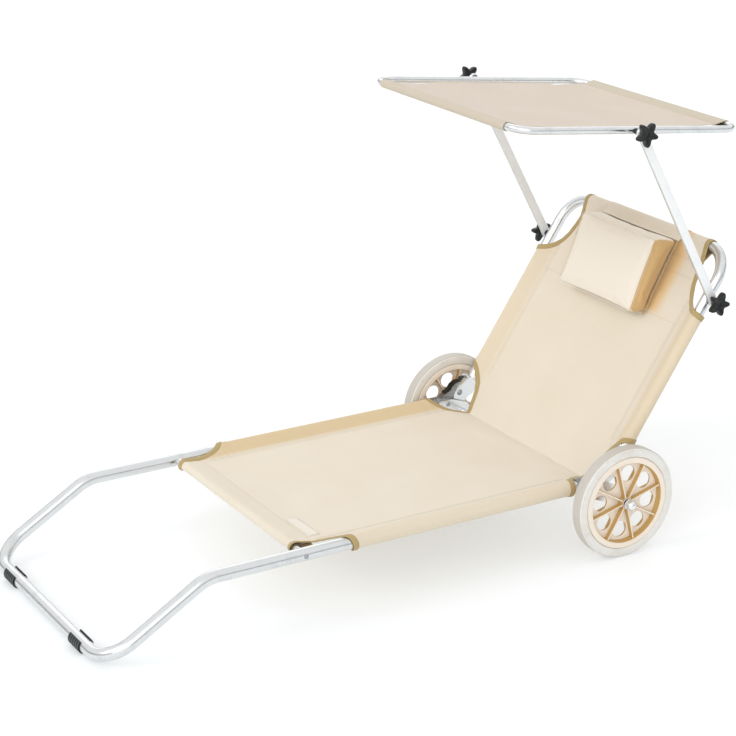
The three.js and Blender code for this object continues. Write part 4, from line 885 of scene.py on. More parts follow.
def cloth_rows(step_plain=0.0065, step_fine=0.0034):
    """Rows of the cloth's grid: the edge's point of each, and the place along the middle that it starts from.
    The step follows the outline's own length, and is shorter at hems and fold."""
    edge = np.concatenate(EDGES)
    at = np.arange(0, lengths(edge)[-1], PITCH)
    edge = resampled(edge, at)
    edge[:, 0] = np.maximum.accumulate(edge[:, 0])
    hem = (edge[:, 0] < F_SEAM) | (edge[:, 0] > F_TOP_SEAM) | (np.abs(edge[:, 0] - F_FOLD) < 0.02)
    density = np.cumsum(np.where(hem, PITCH / step_fine, PITCH / step_plain))
    middle = smoothed(edge[:, 0], 0.045, PITCH)
    middle = np.clip(np.maximum.accumulate(middle), 0, F_END)
    middle = F_END * (middle - middle[0]) / (middle[-1] - middle[0])
    rows = np.linspace(density[0], density[-1], int(density[-1]) + 1)
    pick = lambda values: np.interp(rows, density, values)
    return pick(edge[:, 0]), pick(edge[:, 1]), pick(middle)


def make_lounger_cloth():
    """Seat and back in one sheet: rows run from edge to edge, bent towards the corner cut-outs by |q|^4."""
    f_edge, s_edge, f_middle = cloth_rows()
    inner, outer = np.linspace(0, 0.55, 14, endpoint=False), np.linspace(0.55, 1, 34)
    half = np.concatenate([inner, outer])
    q = np.concatenate([-half[:0:-1], half])
    f = f_middle[:, None] + (f_edge - f_middle)[:, None] * np.abs(q) ** 4
    s = q * (s_edge[:, None] + left_extra(f_edge)[:, None] * (q < 0))
    return make_sheet("lounger_cloth", "seat_cloth", lounger_cloth_at(f, s), f, s, CLOTH)


def cloth_normal(at, f, s, near=0.0008):
    """The cloth's unit normal, from points a little to each side along f and s."""
    return unit(np.cross(at(f + near, s) - at(f - near, s), at(f, s + near) - at(f, s - near)))


def inwards(line, tangent):
    """The line's square in the flat pattern, towards the cloth's middle."""
    return np.stack([tangent[:, 1], -tangent[:, 0]], axis=1) * np.sign(line[:, 1:]).mean()


def offset_on_cloth(line, inset, lift, at=lounger_cloth_at):
    """Points on the cloth beside a line of its flat pattern: moved inwards by inset and off the surface by lift."""
    tangent = unit(np.gradient(line, axis=0))
    flat = line[:, None] + inwards(line, tangent)[:, None] * inset[None, :, None]
    f, s = flat[..., 0], flat[..., 1]
    return at(f, s) + cloth_normal(at, f, s) * lift[None, :, None]


def add_binding(shape, line):
    """Tape folded over an edge: down one face, round the edge in a half circle, and back up the other."""
    width = bpy.context.scene.lounger_cloth.binding_width
    gap, thick = 0.0003, 0.0006
    r = CLOTH / 2 + gap
    turn = np.linspace(np.pi / 2, -np.pi / 2, 9)
    inset = np.concatenate([[width], np.linspace(width, 0, 6)[1:], -r * np.cos(turn)[1:-1], np.linspace(0, width, 6)])
    lift = np.concatenate([[r - gap], np.full(5, r), r * np.sin(turn)[1:-1], np.full(6, -r)])
    over = np.concatenate([[0], np.full(len(inset) - 2, thick), [0]])
    edge = np.where(inset < 0, -thick * np.cos(np.arcsin(np.clip(lift / r, -1, 1))), 0)
    raised = lift + np.sign(lift) * over * (inset >= 0) + np.where(inset < 0, thick * lift / r, 0)
    outside = offset_on_cloth(line, inset + edge, raised)
    inside = offset_on_cloth(line, inset[::-1], (lift * 0.98)[::-1])
    return shape.grid(np.concatenate([outside, inside], axis=1), close_columns=True)


def stitch_points(line, inset, lift, pitch, length, at):
    """Middles, directions and normals of the stitches along a line of the flat pattern."""
    starts = np.arange(pitch / 2, lengths(line)[-1] - pitch / 2, pitch)
    middle = resampled(line, starts)
    tangent = unit(resampled(line, starts + PITCH) - middle)
    flat = middle + inwards(line, tangent) * inset
    f, s = flat[:, 0], flat[:, 1]
    normal = cloth_normal(at, f, s)
    a, b = (at(*(flat + tangent * half).T) for half in (length / 2, -length / 2))
    return (a + b) / 2 + normal * lift, unit(a - b), normal


def add_stitches(shape, line, inset, lift, at=lounger_cloth_at, width=0.00075, height=0.00045):
    """A row of stitches, each a small pillow: along cos, across and up from a 5 by 6 grid of an ellipsoid's angles."""
    pitch = bpy.context.scene.lounger_cloth.stitch_pitch
    length = STITCH_SHARE * pitch
    centres, along, normal = stitch_points(line, inset, lift, pitch, length, at)
    a = np.linspace(0, np.pi, 5)
    b = np.arange(6) * 2 * np.pi / 6
    local = np.stack(
        [
            -np.cos(a)[:, None] * length / 2 + 0 * b,
            np.sin(a)[:, None] * np.cos(b) * width / 2,
            np.sin(a)[:, None] * np.sin(b) * height,
        ],
        axis=-1,
    )
    side = np.cross(normal, along)
    basis = np.stack([along, side, normal], axis=1)
    points = centres[:, None, None] + np.einsum("rck,nkj->nrcj", local, basis)
    n, rows, columns = points.shape[:3]
    index, places = grid_faces(rows, columns, False, True)
    faces = (index[None] + (np.arange(n) * rows * columns)[:, None, None]).reshape(-1, 4)
    uv = np.stack([places[..., 0] * length / rows, places[..., 1] * width / columns], axis=-1).reshape(-1, 2)
    shape.points.append(points.reshape(-1, 3))
    shape.faces.append(faces + shape.count)
    shape.uvs.append(np.tile(uv, (n, 1)))
    shape.count += n * rows * columns
    return shape


def straight(f, s):
    """A line of the flat pattern along which f or s stays the same."""
    return np.stack(np.broadcast_arrays(f, s), axis=1)


def left_extra(f):
    """How much wider the cloth was cut beside the left hinge: a bell curve along the notch."""
    return 0.022 * bell(f - F_FOLD, 0.010, 0.044)


def mirrored_line(line):
    return np.stack([line[:, 0], -line[:, 1] - left_extra(line[:, 0])], axis=1)


def cloth_bindings():
    """Tape round both front cut-outs, both notches and both top corners, on either side."""
    shape = Shape()
    for edge in EDGES:
        line = evened(edge, EDGE_STEP, EDGE_STEP)
        for half in (line, mirrored_line(line)):
            add_binding(shape, half)
    return shape


LABEL_F = tuple(along_at(x, RAIL_Z) for x in (-0.268, -0.240))
LABEL_S = (-0.223, -0.120)


def make_label():
    """Bare ribbon patch sewn on the seat: a rectangle of the flat pattern, lifted off the cloth by less at its rim."""
    f = np.linspace(*LABEL_F, 24)[:, None]
    s = np.linspace(*LABEL_S, 70)[None, :]
    near_rim = np.minimum(np.minimum(f - f.min(), f.max() - f), np.minimum(s - s.min(), s.max() - s))
    f, s = np.broadcast_arrays(f, s)
    lift = CLOTH / 2 + 0.0005 + 0.0006 * eased(near_rim, 0, 0.004)
    points = lounger_cloth_at(f, s) + cloth_normal(lounger_cloth_at, f, s) * lift[..., None]
    return make_sheet("blank_label", "label", points, f, s, RIBBON, "ribbon_thickness")


def cloth_stitches():
    """Double rows beside the side seams, a row along each hem, in each binding and round the label, and two across
    the back."""
    shape = Shape()
    rows = []
    lift = CLOTH / 2 + ON_CLOTH
    for start, end in ((F_FRONT + 0.002, F_NOTCH + 0.018), (F_BACK_NOTCH - 0.018, F_TOP + 0.024)):
        for s in (SEAM_Y - 0.002, SEAM_Y - 0.008):
            f = np.arange(start, end, 0.002)
            rows.append((straight(f, s), 0.0, lift))
    strips = ((back_at(BACK_LENGTH - 0.084), 0.222), (back_at(BACK_LENGTH - 0.190), SEAM_Y))
    for f, half in ((F_SEAM + 0.003, 0.243), (F_TOP_SEAM - 0.002, 0.220), *strips):
        s = np.arange(0.001, half, 0.002)
        rows.append((straight(f, s), 0.0, lift))
    for edge in EDGES:
        rows.append((evened(edge, EDGE_STEP, EDGE_STEP), 0.0088, lift + 0.0008))
    halves = [(half, inset, up) for line, inset, up in rows for half in (line, mirrored_line(line))]
    (f0, f1), (s0, s1) = LABEL_F, LABEL_S
    corners = np.array([(f0, s0), (f0, s1), (f1, s1), (f1, s0), (f0, s0)]) * 1.0
    corners += [[0.002, 0.002], [0.002, -0.002], [-0.002, -0.002], [-0.002, 0.002], [0.002, 0.002]]
    for a, b in zip(corners[:-1], corners[1:]):
        halves.append((a + (b - a) * np.linspace(0, 1, 60)[:, None], 0.0, lift + 0.0010))
    for half, inset, up in halves:
        add_stitches(shape, half, inset, up)
    return shape


# Canopy cloth

CANOPY_CLOTH = 0.0009
CANOPY_REACH = 0.032
CANOPY_HALF = CANOPY_Y - CANOPY_R - 0.0100
CANOPY_HEM_HALF = CANOPY_Y - 0.045 - 0.0006


def canopy_line():
    """Side view of the canopy cloth, front hem's inner edge to rear hem's inner edge, in the canopy's X and Z."""
    layer = 0.6 * CANOPY_CLOTH
    radius = CANOPY_R + PLAY + CANOPY_CLOTH / 2
    rear = sleeve_line((0, 0), radius, CANOPY_REACH, layer)[::-1]
    front = sleeve_line((CANOPY_FRONT, 0), radius, CANOPY_REACH, layer)
    line = np.concatenate([np.stack([-CANOPY_REAR - rear[:, 0], -rear[:, 1]], axis=1), front * [1, -1]])
    return evened(line, 0.0012, PITCH)


CANOPY_LINE = canopy_line()
CANOPY_END = (len(CANOPY_LINE) - 1) * PITCH


def canopy_cloth_at(f, s):
    """Canopy cloth at (f, s) of its flat pattern: side view at f, s out from the middle, minus a sag that is
    greatest in the middle of the panel."""
    x, z = followed(CANOPY_LINE, f)
    free = eased(x, -CANOPY_REAR + 0.012, -CANOPY_REAR + 0.12)
    free = free * (1 - eased(x, CANOPY_FRONT - 0.12, CANOPY_FRONT - 0.012))
    across = np.clip(1 - (s / CANOPY_HALF) ** 2, 0, 1)
    rib = 0.0005 * free * np.abs(s / CANOPY_HALF) ** 6 * np.sin(2 * np.pi * f / 0.055 + np.sign(s))
    sag = 0.0045 * free * (0.35 + 0.65 * across) + 0.0012 * free * waves(f, s, 23, 9, 0.3) + rib
    return CANOPY(np.stack([x, s + 0 * x, z + sag], axis=-1))


def canopy_edge():
    """Right-hand outline of the canopy cloth as (f, s): in at the hems, out along the rails."""
    quarter = len(CANOPY_LINE) // 4
    panel = CANOPY_LINE[quarter : 3 * len(CANOPY_LINE) // 4, 0]
    hems = (-CANOPY_REAR + 0.012, CANOPY_FRONT - 0.012)
    rear, front = (float(np.argmin(np.abs(panel - x))) * PITCH + quarter * PITCH for x in hems)
    corner = [(-0.012, CANOPY_HEM_HALF), (0.004, CANOPY_HEM_HALF + 0.002), (0.022, CANOPY_HEM_HALF + 0.020)]
    corner += [(0.040, CANOPY_HALF - 0.003), (0.060, CANOPY_HALF)]
    points = [(0.0, CANOPY_HEM_HALF), *((rear + d, s) for d, s in corner), ((rear + front) / 2, CANOPY_HALF)]
    points += [*((front - d, s) for d, s in reversed(corner)), (CANOPY_END, CANOPY_HEM_HALF)]
    return smooth_through(points)


CANOPY_EDGE = canopy_edge()


def make_canopy_cloth():
    """One sheet from hem to hem, its rows straight across and clipped to the outline."""
    edge = CANOPY_EDGE.copy()
    edge[:, 0] = np.maximum.accumulate(edge[:, 0])
    stretches = ((0, 0.1, 0.0025), (0.1, CANOPY_END - 0.1, 0.007), (CANOPY_END - 0.1, CANOPY_END, 0.0025))
    f = np.unique(np.concatenate([*(np.arange(*each) for each in stretches), [CANOPY_END]]))
    half = np.interp(f, edge[:, 0], edge[:, 1])
    q = np.linspace(-1, 1, 81)
    s = half[:, None] * q
    f = np.broadcast_to(f[:, None], s.shape)
    return make_sheet("canopy_sheet", "canopy_cloth", canopy_cloth_at(f, s), f, s, CANOPY_CLOTH)


def canopy_stitches():
    """A row beside each hem and a double row along each side's turned edge, on both faces."""
    shape = Shape()
    rows = []
    for f in (CANOPY_REACH + 0.0285 + 0.033, CANOPY_END - CANOPY_REACH - 0.0285 - 0.033):
        s = np.arange(0.001, CANOPY_HEM_HALF + 0.008, 0.002)
        rows.append(straight(f, s))
    f = np.arange(0.1, CANOPY_END - 0.1, 0.002)
    rows += [straight(f, CANOPY_HALF - inset) for inset in (0.004, 0.011)]
    for line in rows:
        for half in (line, line * [1, -1]):
            for lift in (CANOPY_CLOTH / 2 + ON_CLOTH, -CANOPY_CLOTH / 2 - ON_CLOTH):
                add_stitches(shape, half, 0.0, lift, canopy_cloth_at)
    return shape


# Head pillow

PILLOW_HEIGHT, PILLOW_WIDTH, PILLOW_THICK = 0.183, 0.286, 0.050
PILLOW_WEDGE, PILLOW_LEAN = 0.2, 0.26
SWELL_STEPS = 20
PILLOW_TILT = math.radians(8.3)
PILLOW_BASE = (BACK_LENGTH - 0.208, BACK_Z + 0.001 + PILLOW_THICK / 2 * (1 - PILLOW_WEDGE))
PILLOW = Place(BACK([PILLOW_BASE[0], 0, PILLOW_BASE[1]]), BACK_ANGLE + PILLOW_TILT)


def pillow_at(u, v, w, crown=0.006, back_crown=0.0015):
    """Pillow's point for u up, v across and w through, each from -1 to 1: edges drawn in between corners,
    faces crowned by (1 - u^4)(1 - v^4), thicker at the top, its back set higher than its front."""
    drawn = 0.03
    shrink = 1 - np.where(w > 0, 0.05, 0.015) * w**4
    u, v = u * shrink, v * shrink
    x = u * (1 - drawn * (1 - v * v)) * PILLOW_HEIGHT / 2
    y = v * (1 - drawn * (1 - u * u)) * PILLOW_WIDTH / 2
    bulge = np.where(w > 0, crown, back_crown) * (1 - u**4) * (1 - v**4) * w
    z = (w * PILLOW_THICK / 2 + bulge) * (1 + PILLOW_WEDGE * u)
    return PILLOW(np.stack([PILLOW_HEIGHT / 2 + x - z * PILLOW_LEAN, y, z], axis=-1))


def rim_line(count):
    """The square's outline as arrays u, v: four sides, each with rounded corners from a high power circle."""
    a = np.arange(count) * 2 * np.pi / count + np.pi / 4
    c, s = np.cos(a), np.sin(a)
    r = (np.abs(c) ** 26 + np.abs(s) ** 26) ** (-1 / 26)
    return c * r, s * r


def make_pillow():
    """Case of the pillow as a closed form: back face, sides and front face, each ring of the outline scaled
    from the middle. It is then blown up as cloth."""
    count = 160
    u, v = rim_line(count)
    rings = [(k, -1.0) for k in np.linspace(0, 1, 12)] + [(1.0, w) for w in np.linspace(-1, 1, 9)[1:-1]]
    rings += [(k, 1.0) for k in np.linspace(1, 0, 12)]
    scale, through = (np.array(c)[:, None] for c in zip(*rings))
    shell = Shape().grid(pillow_at(u * scale * 0.985, v * scale * 0.985, through * 0.97 + 0 * u), close_columns=True)
    piece = shell.piece("head_pillow_case", finish("pillow_cloth"), 80)
    blow_up(piece, pressure=4.0, most=0.003)
    return piece


def blow_up(piece, pressure, most):
    """Cloth under pressure and no gravity: remeshed, swelled in steps, moved by no more than most, and subdivided
    once."""
    context = bpy.context
    context.view_layer.objects.active = piece
    piece.select_set(True)
    remesh = piece.modifiers.new("even_mesh", "REMESH")
    remesh.mode, remesh.voxel_size = "VOXEL", 0.004
    bpy.ops.object.modifier_apply(modifier=remesh.name)
    mesh = piece.data
    rest = read(mesh.vertices, "co")
    cloth = piece.modifiers.new("swell", "CLOTH")
    cloth.settings.use_pressure = True
    cloth.settings.uniform_pressure_force = pressure
    cloth.settings.effector_weights.gravity = 0
    cloth.settings.quality = 6
    cloth.point_cache.frame_start, cloth.point_cache.frame_end = 1, SWELL_STEPS
    for frame_number in range(1, SWELL_STEPS + 1):
        context.scene.frame_set(frame_number)
    swelled = piece.evaluated_get(context.evaluated_depsgraph_get()).to_mesh()
    moved = read(swelled.vertices, "co")
    piece.evaluated_get(context.evaluated_depsgraph_get()).to_mesh_clear()
    piece.modifiers.remove(cloth)
    step = moved - rest
    far = np.linalg.norm(step, axis=1, keepdims=True)
    step *= np.minimum(1, most / np.maximum(far, 1e-9))
    local = BACK.inverse(rest + step)
    floor = BACK_Z + CLOTH / 2 + 0.0008
    local[:, 2] = np.maximum(local[:, 2], floor)
    mesh.vertices.foreach_set("co", BACK(local).astype(np.float32).ravel())
    mesh.update()
    context.scene.frame_set(1)
    finer = piece.modifiers.new("finer", "SUBSURF")
    finer.levels = finer.render_levels = 1
    bpy.ops.object.modifier_apply(modifier=finer.name)
    piece.data.polygons.foreach_set("use_smooth", np.ones(len(piece.data.polygons), bool))
    piece.select_set(False)


def pillow_piping(w, radius):
    """Cord along the seam round the pillow's front or back edge: a small circle carried round the rim."""
    u, v = rim_line(240)
    path = pillow_at(u, v, np.full_like(u, w), 0.0, 0.0)
    closed = np.concatenate([path[-1:], path, path[:1]])
    tangent = unit(closed[2:] - closed[:-2])
    out = unit(path - path.mean(axis=0))
    out = unit(out - (out * tangent).sum(axis=1, keepdims=True) * tangent)
    up = np.cross(tangent, out)
    ring = circle_section(radius, 8)
    points = path[:, None] + ring[None, :, :1] * out[:, None] + ring[None, :, 1:] * up[:, None]
    return Shape().grid(points, close_rows=True, close_columns=True)


def flap_line():
    """Side view of the flap in the backrest's X and Z: from the pillow's upper back edge, over the top bar and
    down the back."""
    radius = BACK_R + PLAY + CLOTH + 0.0009
    depth = PILLOW_THICK / 2 * (1 + PILLOW_WEDGE) - 0.0016
    along = PILLOW_HEIGHT * 0.975 + 0.0006 + depth * PILLOW_LEAN
    root = (
        PILLOW_BASE[0] + along * math.cos(PILLOW_TILT) + depth * math.sin(PILLOW_TILT),
        PILLOW_BASE[1] + along * math.sin(PILLOW_TILT) - depth * math.cos(PILLOW_TILT),
    )
    dx, dz = root[0] - BACK_LENGTH, root[1] - BACK_Z
    touch = math.atan2(dz, dx) - math.acos(radius / math.hypot(dx, dz))
    over = arc((BACK_LENGTH, BACK_Z), radius, touch, -math.pi / 2, 24)
    line = np.concatenate([[root], over, [[BACK_LENGTH - 0.060, BACK_Z - radius]]])
    return resampled(line, np.linspace(0, lengths(line)[-1], 60))


def make_flap():
    """Flap: its side view carried across the pillow's width, its free edge a little wavy."""
    line = flap_line()
    s = lengths(line)
    y = np.linspace(-PILLOW_WIDTH / 2 + 0.001, PILLOW_WIDTH / 2 - 0.001, 60)
    free = eased(s, s[-1] * 0.5, s[-1])[:, None]
    wave = 0.0012 * free * np.sin(2 * np.pi * y / 0.09 + 0.6)
    points = np.stack([line[:, :1] + 0 * y, y + 0 * line[:, :1], line[:, 1:] - wave], axis=-1)
    return make_sheet("pillow_strap", "seat_cloth", BACK(points), s[:, None], y, FLAP), s[-1]


# Frame


def main_frame_path():
    knee, foot = 0.222 + SHIFT, SHIFT
    half = [(RAIL_END_X, -RAIL_Y, RAIL_Z), (knee, -RAIL_Y, RAIL_Z), (foot, -RAIL_Y, FOOT_Z)]
    return bent_path(half + [(x, -y, z) for x, y, z in reversed(half)], (0.090, 0.072, 0.072, 0.090))


def u_path(place, start, end, half, bend, z):
    corners = [(start, -half, z), (end, -half, z), (end, half, z), (start, half, z)]
    return place(bent_path(corners, (bend, bend), 16))


def tube(name, path, radius, wall, reference, sides=36):
    return add_tube(Shape(), path, radius, wall, reference, sides).piece(name, finish("aluminium_tube"))


def make_frame_tubes():
    """Main tube and the seat's front tube."""
    half = RAIL_Y - RAIL_R - GAP
    ends = np.array([[SEAT_TUBE_X, -half, RAIL_Z], [SEAT_TUBE_X, half, RAIL_Z]])
    return (
        tube("main_tube", main_frame_path(), RAIL_R, 0.0014, unit(np.array([-0.132, 0, 0.222]))),
        tube("seat_bar", ends, SEAT_TUBE_R, 0.0012, np.array([1.0, 0, 0]), 28),
    )


def make_back_tube():
    path = u_path(BACK, 0.047, BACK_LENGTH, RAIL_Y, 0.070, BACK_Z)
    return tube("back_bow", path, BACK_R, 0.0013, BACK.axes[2])


def make_canopy_tubes():
    """Front and rear half, which meet on either side."""
    halves = (("canopy_bow_front", -0.040, CANOPY_FRONT), ("canopy_bow_rear", -0.0403, -CANOPY_REAR))
    paths = [(name, u_path(CANOPY, start, end, CANOPY_Y, 0.045, 0.0)) for name, start, end in halves]
    return [tube(name, path, CANOPY_R, 0.0012, CANOPY.axes[2], 30) for name, path in paths]


def make_arm(side):
    """Flat-oval arm with round ends: a stadium outline whose edges are rounded."""
    r = 0.011
    a = np.linspace(np.pi / 2, 3 * np.pi / 2, 25)
    low = np.stack([r * np.cos(a), r * np.sin(a)], axis=1)
    high = np.stack([ARM_LENGTH - r * np.cos(a), -r * np.sin(a)], axis=1)
    outline = np.concatenate([low, high])
    y0, y1 = ARM_Y - ARM_HALF, ARM_Y + ARM_HALF
    spine = np.clip(outline[:, 0], 0, ARM_LENGTH)
    edge = 0.0036
    a = np.linspace(0, np.pi / 2, 6)
    tangent = unit(outline - np.stack([spine, 0 * spine], axis=1))
    rows = [(1.0, y0)] + [(edge * (1 - math.sin(x)), y0 + edge * (1 - math.cos(x))) for x in a]
    rows += [(edge * (1 - math.cos(x)), y1 - edge * (1 - math.sin(x))) for x in a] + [(1.0, y1)]
    grid = []
    for drawn, y in rows:
        flat = outline - tangent * min(drawn, r)
        grid.append(np.stack([flat[:, 0], np.full(len(flat), side * y), flat[:, 1]], axis=1))
    return Shape().grid(ARM(np.stack(grid)), close_columns=True)


def star_knob(side, x, turned=0.0):
    """Knob: the radius is the lobes' wave times the profile's share, and the profile runs from the neck's foot
    round the rim into the dished face."""
    a = np.arange(120) * 2 * np.pi / 120
    wave = np.cos(5 * (a - turned))
    lobes = 0.0203 + 0.0062 * (wave + 0.2 * (wave * wave - 0.5))
    y0 = ARM_Y + ARM_HALF + GAP
    rows = [
        (0.0033, 0.0, 0.0), (0.0085, 0.0, 0.0), (0.0090, 0.0006, 0.0), (0.0090, 0.0075, 0.0),
        (0.0098, 0.0080, 0.0), (0.88, 0.0080, 1.0), (0.95, 0.0086, 1.0), (0.99, 0.0100, 1.0),
        (1.0, 0.0125, 1.0), (1.0, 0.0172, 1.0), (0.985, 0.0195, 1.0), (0.95, 0.0213, 1.0),
        (0.90, 0.0220, 1.0), (0.84, 0.0221, 1.0), (0.78, 0.0217, 1.0), (0.66, 0.0203, 1.0),
        (0.50, 0.0189, 1.0), (0.34, 0.0182, 1.0), (0.0052, 0.0180, 0.0), (0.0046, 0.0176, 0.0),
        (0.0042, 0.0160, 0.0), (0.0, 0.0156, 0.0),
    ]
    points = []
    for size, y, star in rows:
        r = lobes * size if star else np.full_like(a, size)
        points.append(np.stack([x + r * np.sin(a), np.full_like(a, side * (y0 + y)), -r * np.cos(a)], axis=1))
    return Shape().grid(ARM(np.stack(points)), close_columns=True)


KNOB_TURNS = {("upper", "left"): 25.5, ("upper", "right"): 18, ("lower", "left"): 37.5, ("lower", "right"): 0}


def make_foot_clip(side):
    """Ribbed clip: an arc of a circle under the crossbar, its radius raised by the ribs along Y, closed by its
    inner skin."""
    y = np.linspace(0.146, 0.196, 111)
    pitch = 0.050 / 11
    phase = ((y - 0.146) / pitch) % 2
    rib = np.clip(np.minimum(phase, 1 - phase) * 6, 0, 1) * (phase < 1)
    a = np.linspace(math.pi / 2 + math.pi / 4.5, 2.5 * math.pi - math.pi / 4.5, 40)
    inner, base = RAIL_R + GAP, RAIL_R + 0.0023
    outer = base + 0.001 * rib

    def skin(radius, angles):
        r = np.broadcast_to(radius, y.shape)[None, :]
        x = SHIFT + r * np.cos(angles)[:, None]
        z = np.maximum(FOOT_Z + r * np.sin(angles)[:, None], 0.0)
        return np.stack([x, np.broadcast_to(side * y, x.shape), z], axis=-1)

    ring = np.concatenate([skin(outer, a), skin(inner, a[::-1])])
    shape = Shape().grid(ring, close_rows=True)
    for k in (0, -1):
        edge = ring[:, k]
        shape.grid(np.stack([edge[: len(a)], edge[len(a) :][::-1]]))
    return shape


def both_faces(half):
    """A profile of (radius, y) joined to its own mirror image in the middle plane."""
    return half + [(r, -y) for r, y in reversed(half)]


def make_wheel(name):
    """Rim and tyre as profiles turned about the axle, a web whose surface runs from each hole's circle to its
    sector's border, and eight tapered ribs."""
    side = SIDES[name]
    middle, turned = WHEELS[name]
    y0 = side * middle
    half, web, ring_in, rim_r = 0.0157, 0.002, 0.0895, 0.104
    rim = Shape()
    ring = [(ring_in - 0.001, -web), (ring_in + 0.0009, -half + 0.001), (ring_in + 0.0019, -half)]
    ring += [(rim_r - 0.0012, -half), (rim_r, -half + 0.0028)]
    hub = [(0.0064, -0.016), (0.0125, -0.016), (0.0130, -0.0154), (0.0136, -web)]

    def turn(shape, profile, radius, sides):
        profile = np.array(softened(both_faces(profile), radius, 3, True)) + [0, middle]
        return add_turned(shape, profile, sides, side, close=True)

    turn(rim, ring, 0.0008, 128)
    turn(rim, hub, 0.0006, 64)
    add_web(rim, y0, turned, ring_in + 0.002, web)
    for k in range(8):
        add_rib(rim, y0, side, turned + (k + 0.5) * math.pi / 4)
    tread = [
        (0.1043, -0.0128), (0.1052, -0.0146), (0.1080, -0.0156), (0.1130, -0.0160), (0.1182, -0.0158),
        (0.1190, -0.0150), (0.1198, -0.0150), (0.1205, -0.0157), (0.1220, -0.0154), (0.1228, -0.0142),
        (0.1232, -0.0128), (0.1240, -0.0124), (0.1248, -0.0115), (0.1250, -0.0060),
    ]
    return rim, turn(Shape(), tread, 0.0007, 144)


def make_axle_end(side):
    """Washer's collar and bright cap, a profile turned about the axle: straight skirt, then a dome.
    The collar is given a black finish as painted shade.
    """
    a = np.linspace(0, np.pi / 2, 12)
    skirt, radius = 0.3735, 0.0108
    dome = [(radius * math.cos(x), skirt + 0.0100 * math.sin(x)) for x in a]
    profile = [(0.0064, 0.3628), (0.0112, 0.3628), (0.0117, 0.3634), (0.0117, 0.3650)]
    profile += [(0.0106, 0.3655), (0.0106, 0.3668), (radius, 0.3675)] + dome
    return add_turned(Shape(), np.array(profile) + [0, -side * MIDDLE_Y], 64, side)


def add_web(shape, y0, turned, reach, web, hole_r=0.018, hole_c=0.0635):
    """Web: about each hole's middle, rays run from the hole's circle to the border of its sector of the disc;
    the hole's edge is rounded by a step of half its radius."""
    step = math.pi / 4
    phi = np.arange(72) * 2 * np.pi / 72
    away = np.stack([np.cos(phi), np.sin(phi)], axis=1)
    middle = np.array([hole_c, 0])
    far = np.linspace(0, 0.12, 600)[:, None, None]
    ray = middle + away * far
    r, t = np.linalg.norm(ray, axis=2), np.arctan2(ray[..., 1], ray[..., 0])
    inside = (r > 0.012) & (r < reach) & (np.abs(t) < step / 2)
    border = middle + away * (far[..., 0] * inside).max(axis=0)[:, None]
    edge = 0.0007
    rounds = [(0.0, web - edge), (0.3 * edge, web - 0.3 * edge), (edge, web)]
    rows = [(middle + away * (hole_r + out), y) for out, y in rounds] + [(border, web), (border, -web)]
    rows += [(middle + away * (hole_r + out), -y) for out, y in reversed(rounds)]
    for k in range(8):
        a = turned + k * step
        turn = np.array([[math.cos(a), math.sin(a)], [-math.sin(a), math.cos(a)]])
        flats = [(flat @ turn, y) for flat, y in rows]
        patch = [np.stack([AXLE[0] + f[:, 0], 0 * f[:, 0] + y0 + y, AXLE[1] + f[:, 1]], axis=1) for f, y in flats]
        shape.grid(np.stack(patch), close_rows=True, close_columns=True)
    return shape


def add_rib(shape, y0, side, angle):
    """Rib: its side view tapers from hub to ring; its section is a thin wall with round edges, thicker at both ends."""
    r = np.linspace(0.0115, 0.0905, 24)
    share = (r - r[0]) / (r[-1] - r[0])
    top = 0.0144 + (0.0126 - 0.0144) * share
    flare = 1 + 0.4 * bell(share, 0, 0.06) + 0.4 * bell(1 - share, 0, 0.05)
    a = np.linspace(0, np.pi, 7)
    width, rise = 0.0017 * np.cos(a), 0.0008 * np.sin(a) - 0.0008
    across = np.concatenate([width, -width])[None, :] * flare[:, None]
    y = np.concatenate([top[:, None] + rise, -top[:, None] - rise], axis=1)
    x = AXLE[0] + r[:, None] * math.cos(angle) - across * math.sin(angle)
    z = AXLE[1] + r[:, None] * math.sin(angle) + across * math.cos(angle)
    return shape.grid(np.stack([x, y0 + side * y, z], axis=-1), close_columns=True)


# Add-on


def dress(piece, body, slot, *nodes):
    """Hangs a piece on its body, in place of its CAD nodes. Its slot is not used."""
    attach(piece, body)
    if nodes:
        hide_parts(*nodes)
    return piece


def paint(node, name):
    """Gives a CAD node that stays a finish of this scene."""
    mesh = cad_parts[node].data
    mesh.materials.clear()
    mesh.materials.append(finish(name))


def length_property(name, description, default, low, high):
    return bpy.props.FloatProperty(
        name=name, description=description, default=default, min=low, max=high, subtype="DISTANCE"
    )


def colour_property(name, description, hex_colour):
    return bpy.props.FloatVectorProperty(
        name=name, description=description, subtype="COLOR", size=3, min=0.0, max=1.0, default=linear(hex_colour)[:3]
    )


class LoungerCloth(bpy.types.PropertyGroup):
    """Sizes and colours of the lounger's cloth and wheels."""

    binding_width: length_property(
        "Binding width", "Width of the tape on each face of a bound edge", 0.011, 0.004, 0.02
    )
    stitch_pitch: length_property("Stitch pitch", "Distance from stitch to stitch", 0.0042, 0.002, 0.02)
    seat_colour: colour_property("Seat cloth", "Colour of the seat, the back and the pillow", "E5DED1")
    canopy_colour: colour_property("Canopy cloth", "Colour of the canopy", "D6CABE")
    binding_colour: colour_property("Binding", "Colour of the tape round the cloth's edges", "C0A97A")
    # The rims' colour, kept darker on their walls and ribs as painted shade
    wheel_colour: colour_property("Wheel plastic", "Colour of the rims", "CDAD70")


class LoungerStage(bpy.types.PropertyGroup):
    """Floor and light of the studio."""

    floor_half: length_property("Floor reach", "Half the width of the floor", 30.0, 5.0, 100.0)
    key_strength: bpy.props.FloatProperty(
        name="Key light", description="Strength of the soft light from the front", default=1.9, min=0.0
    )


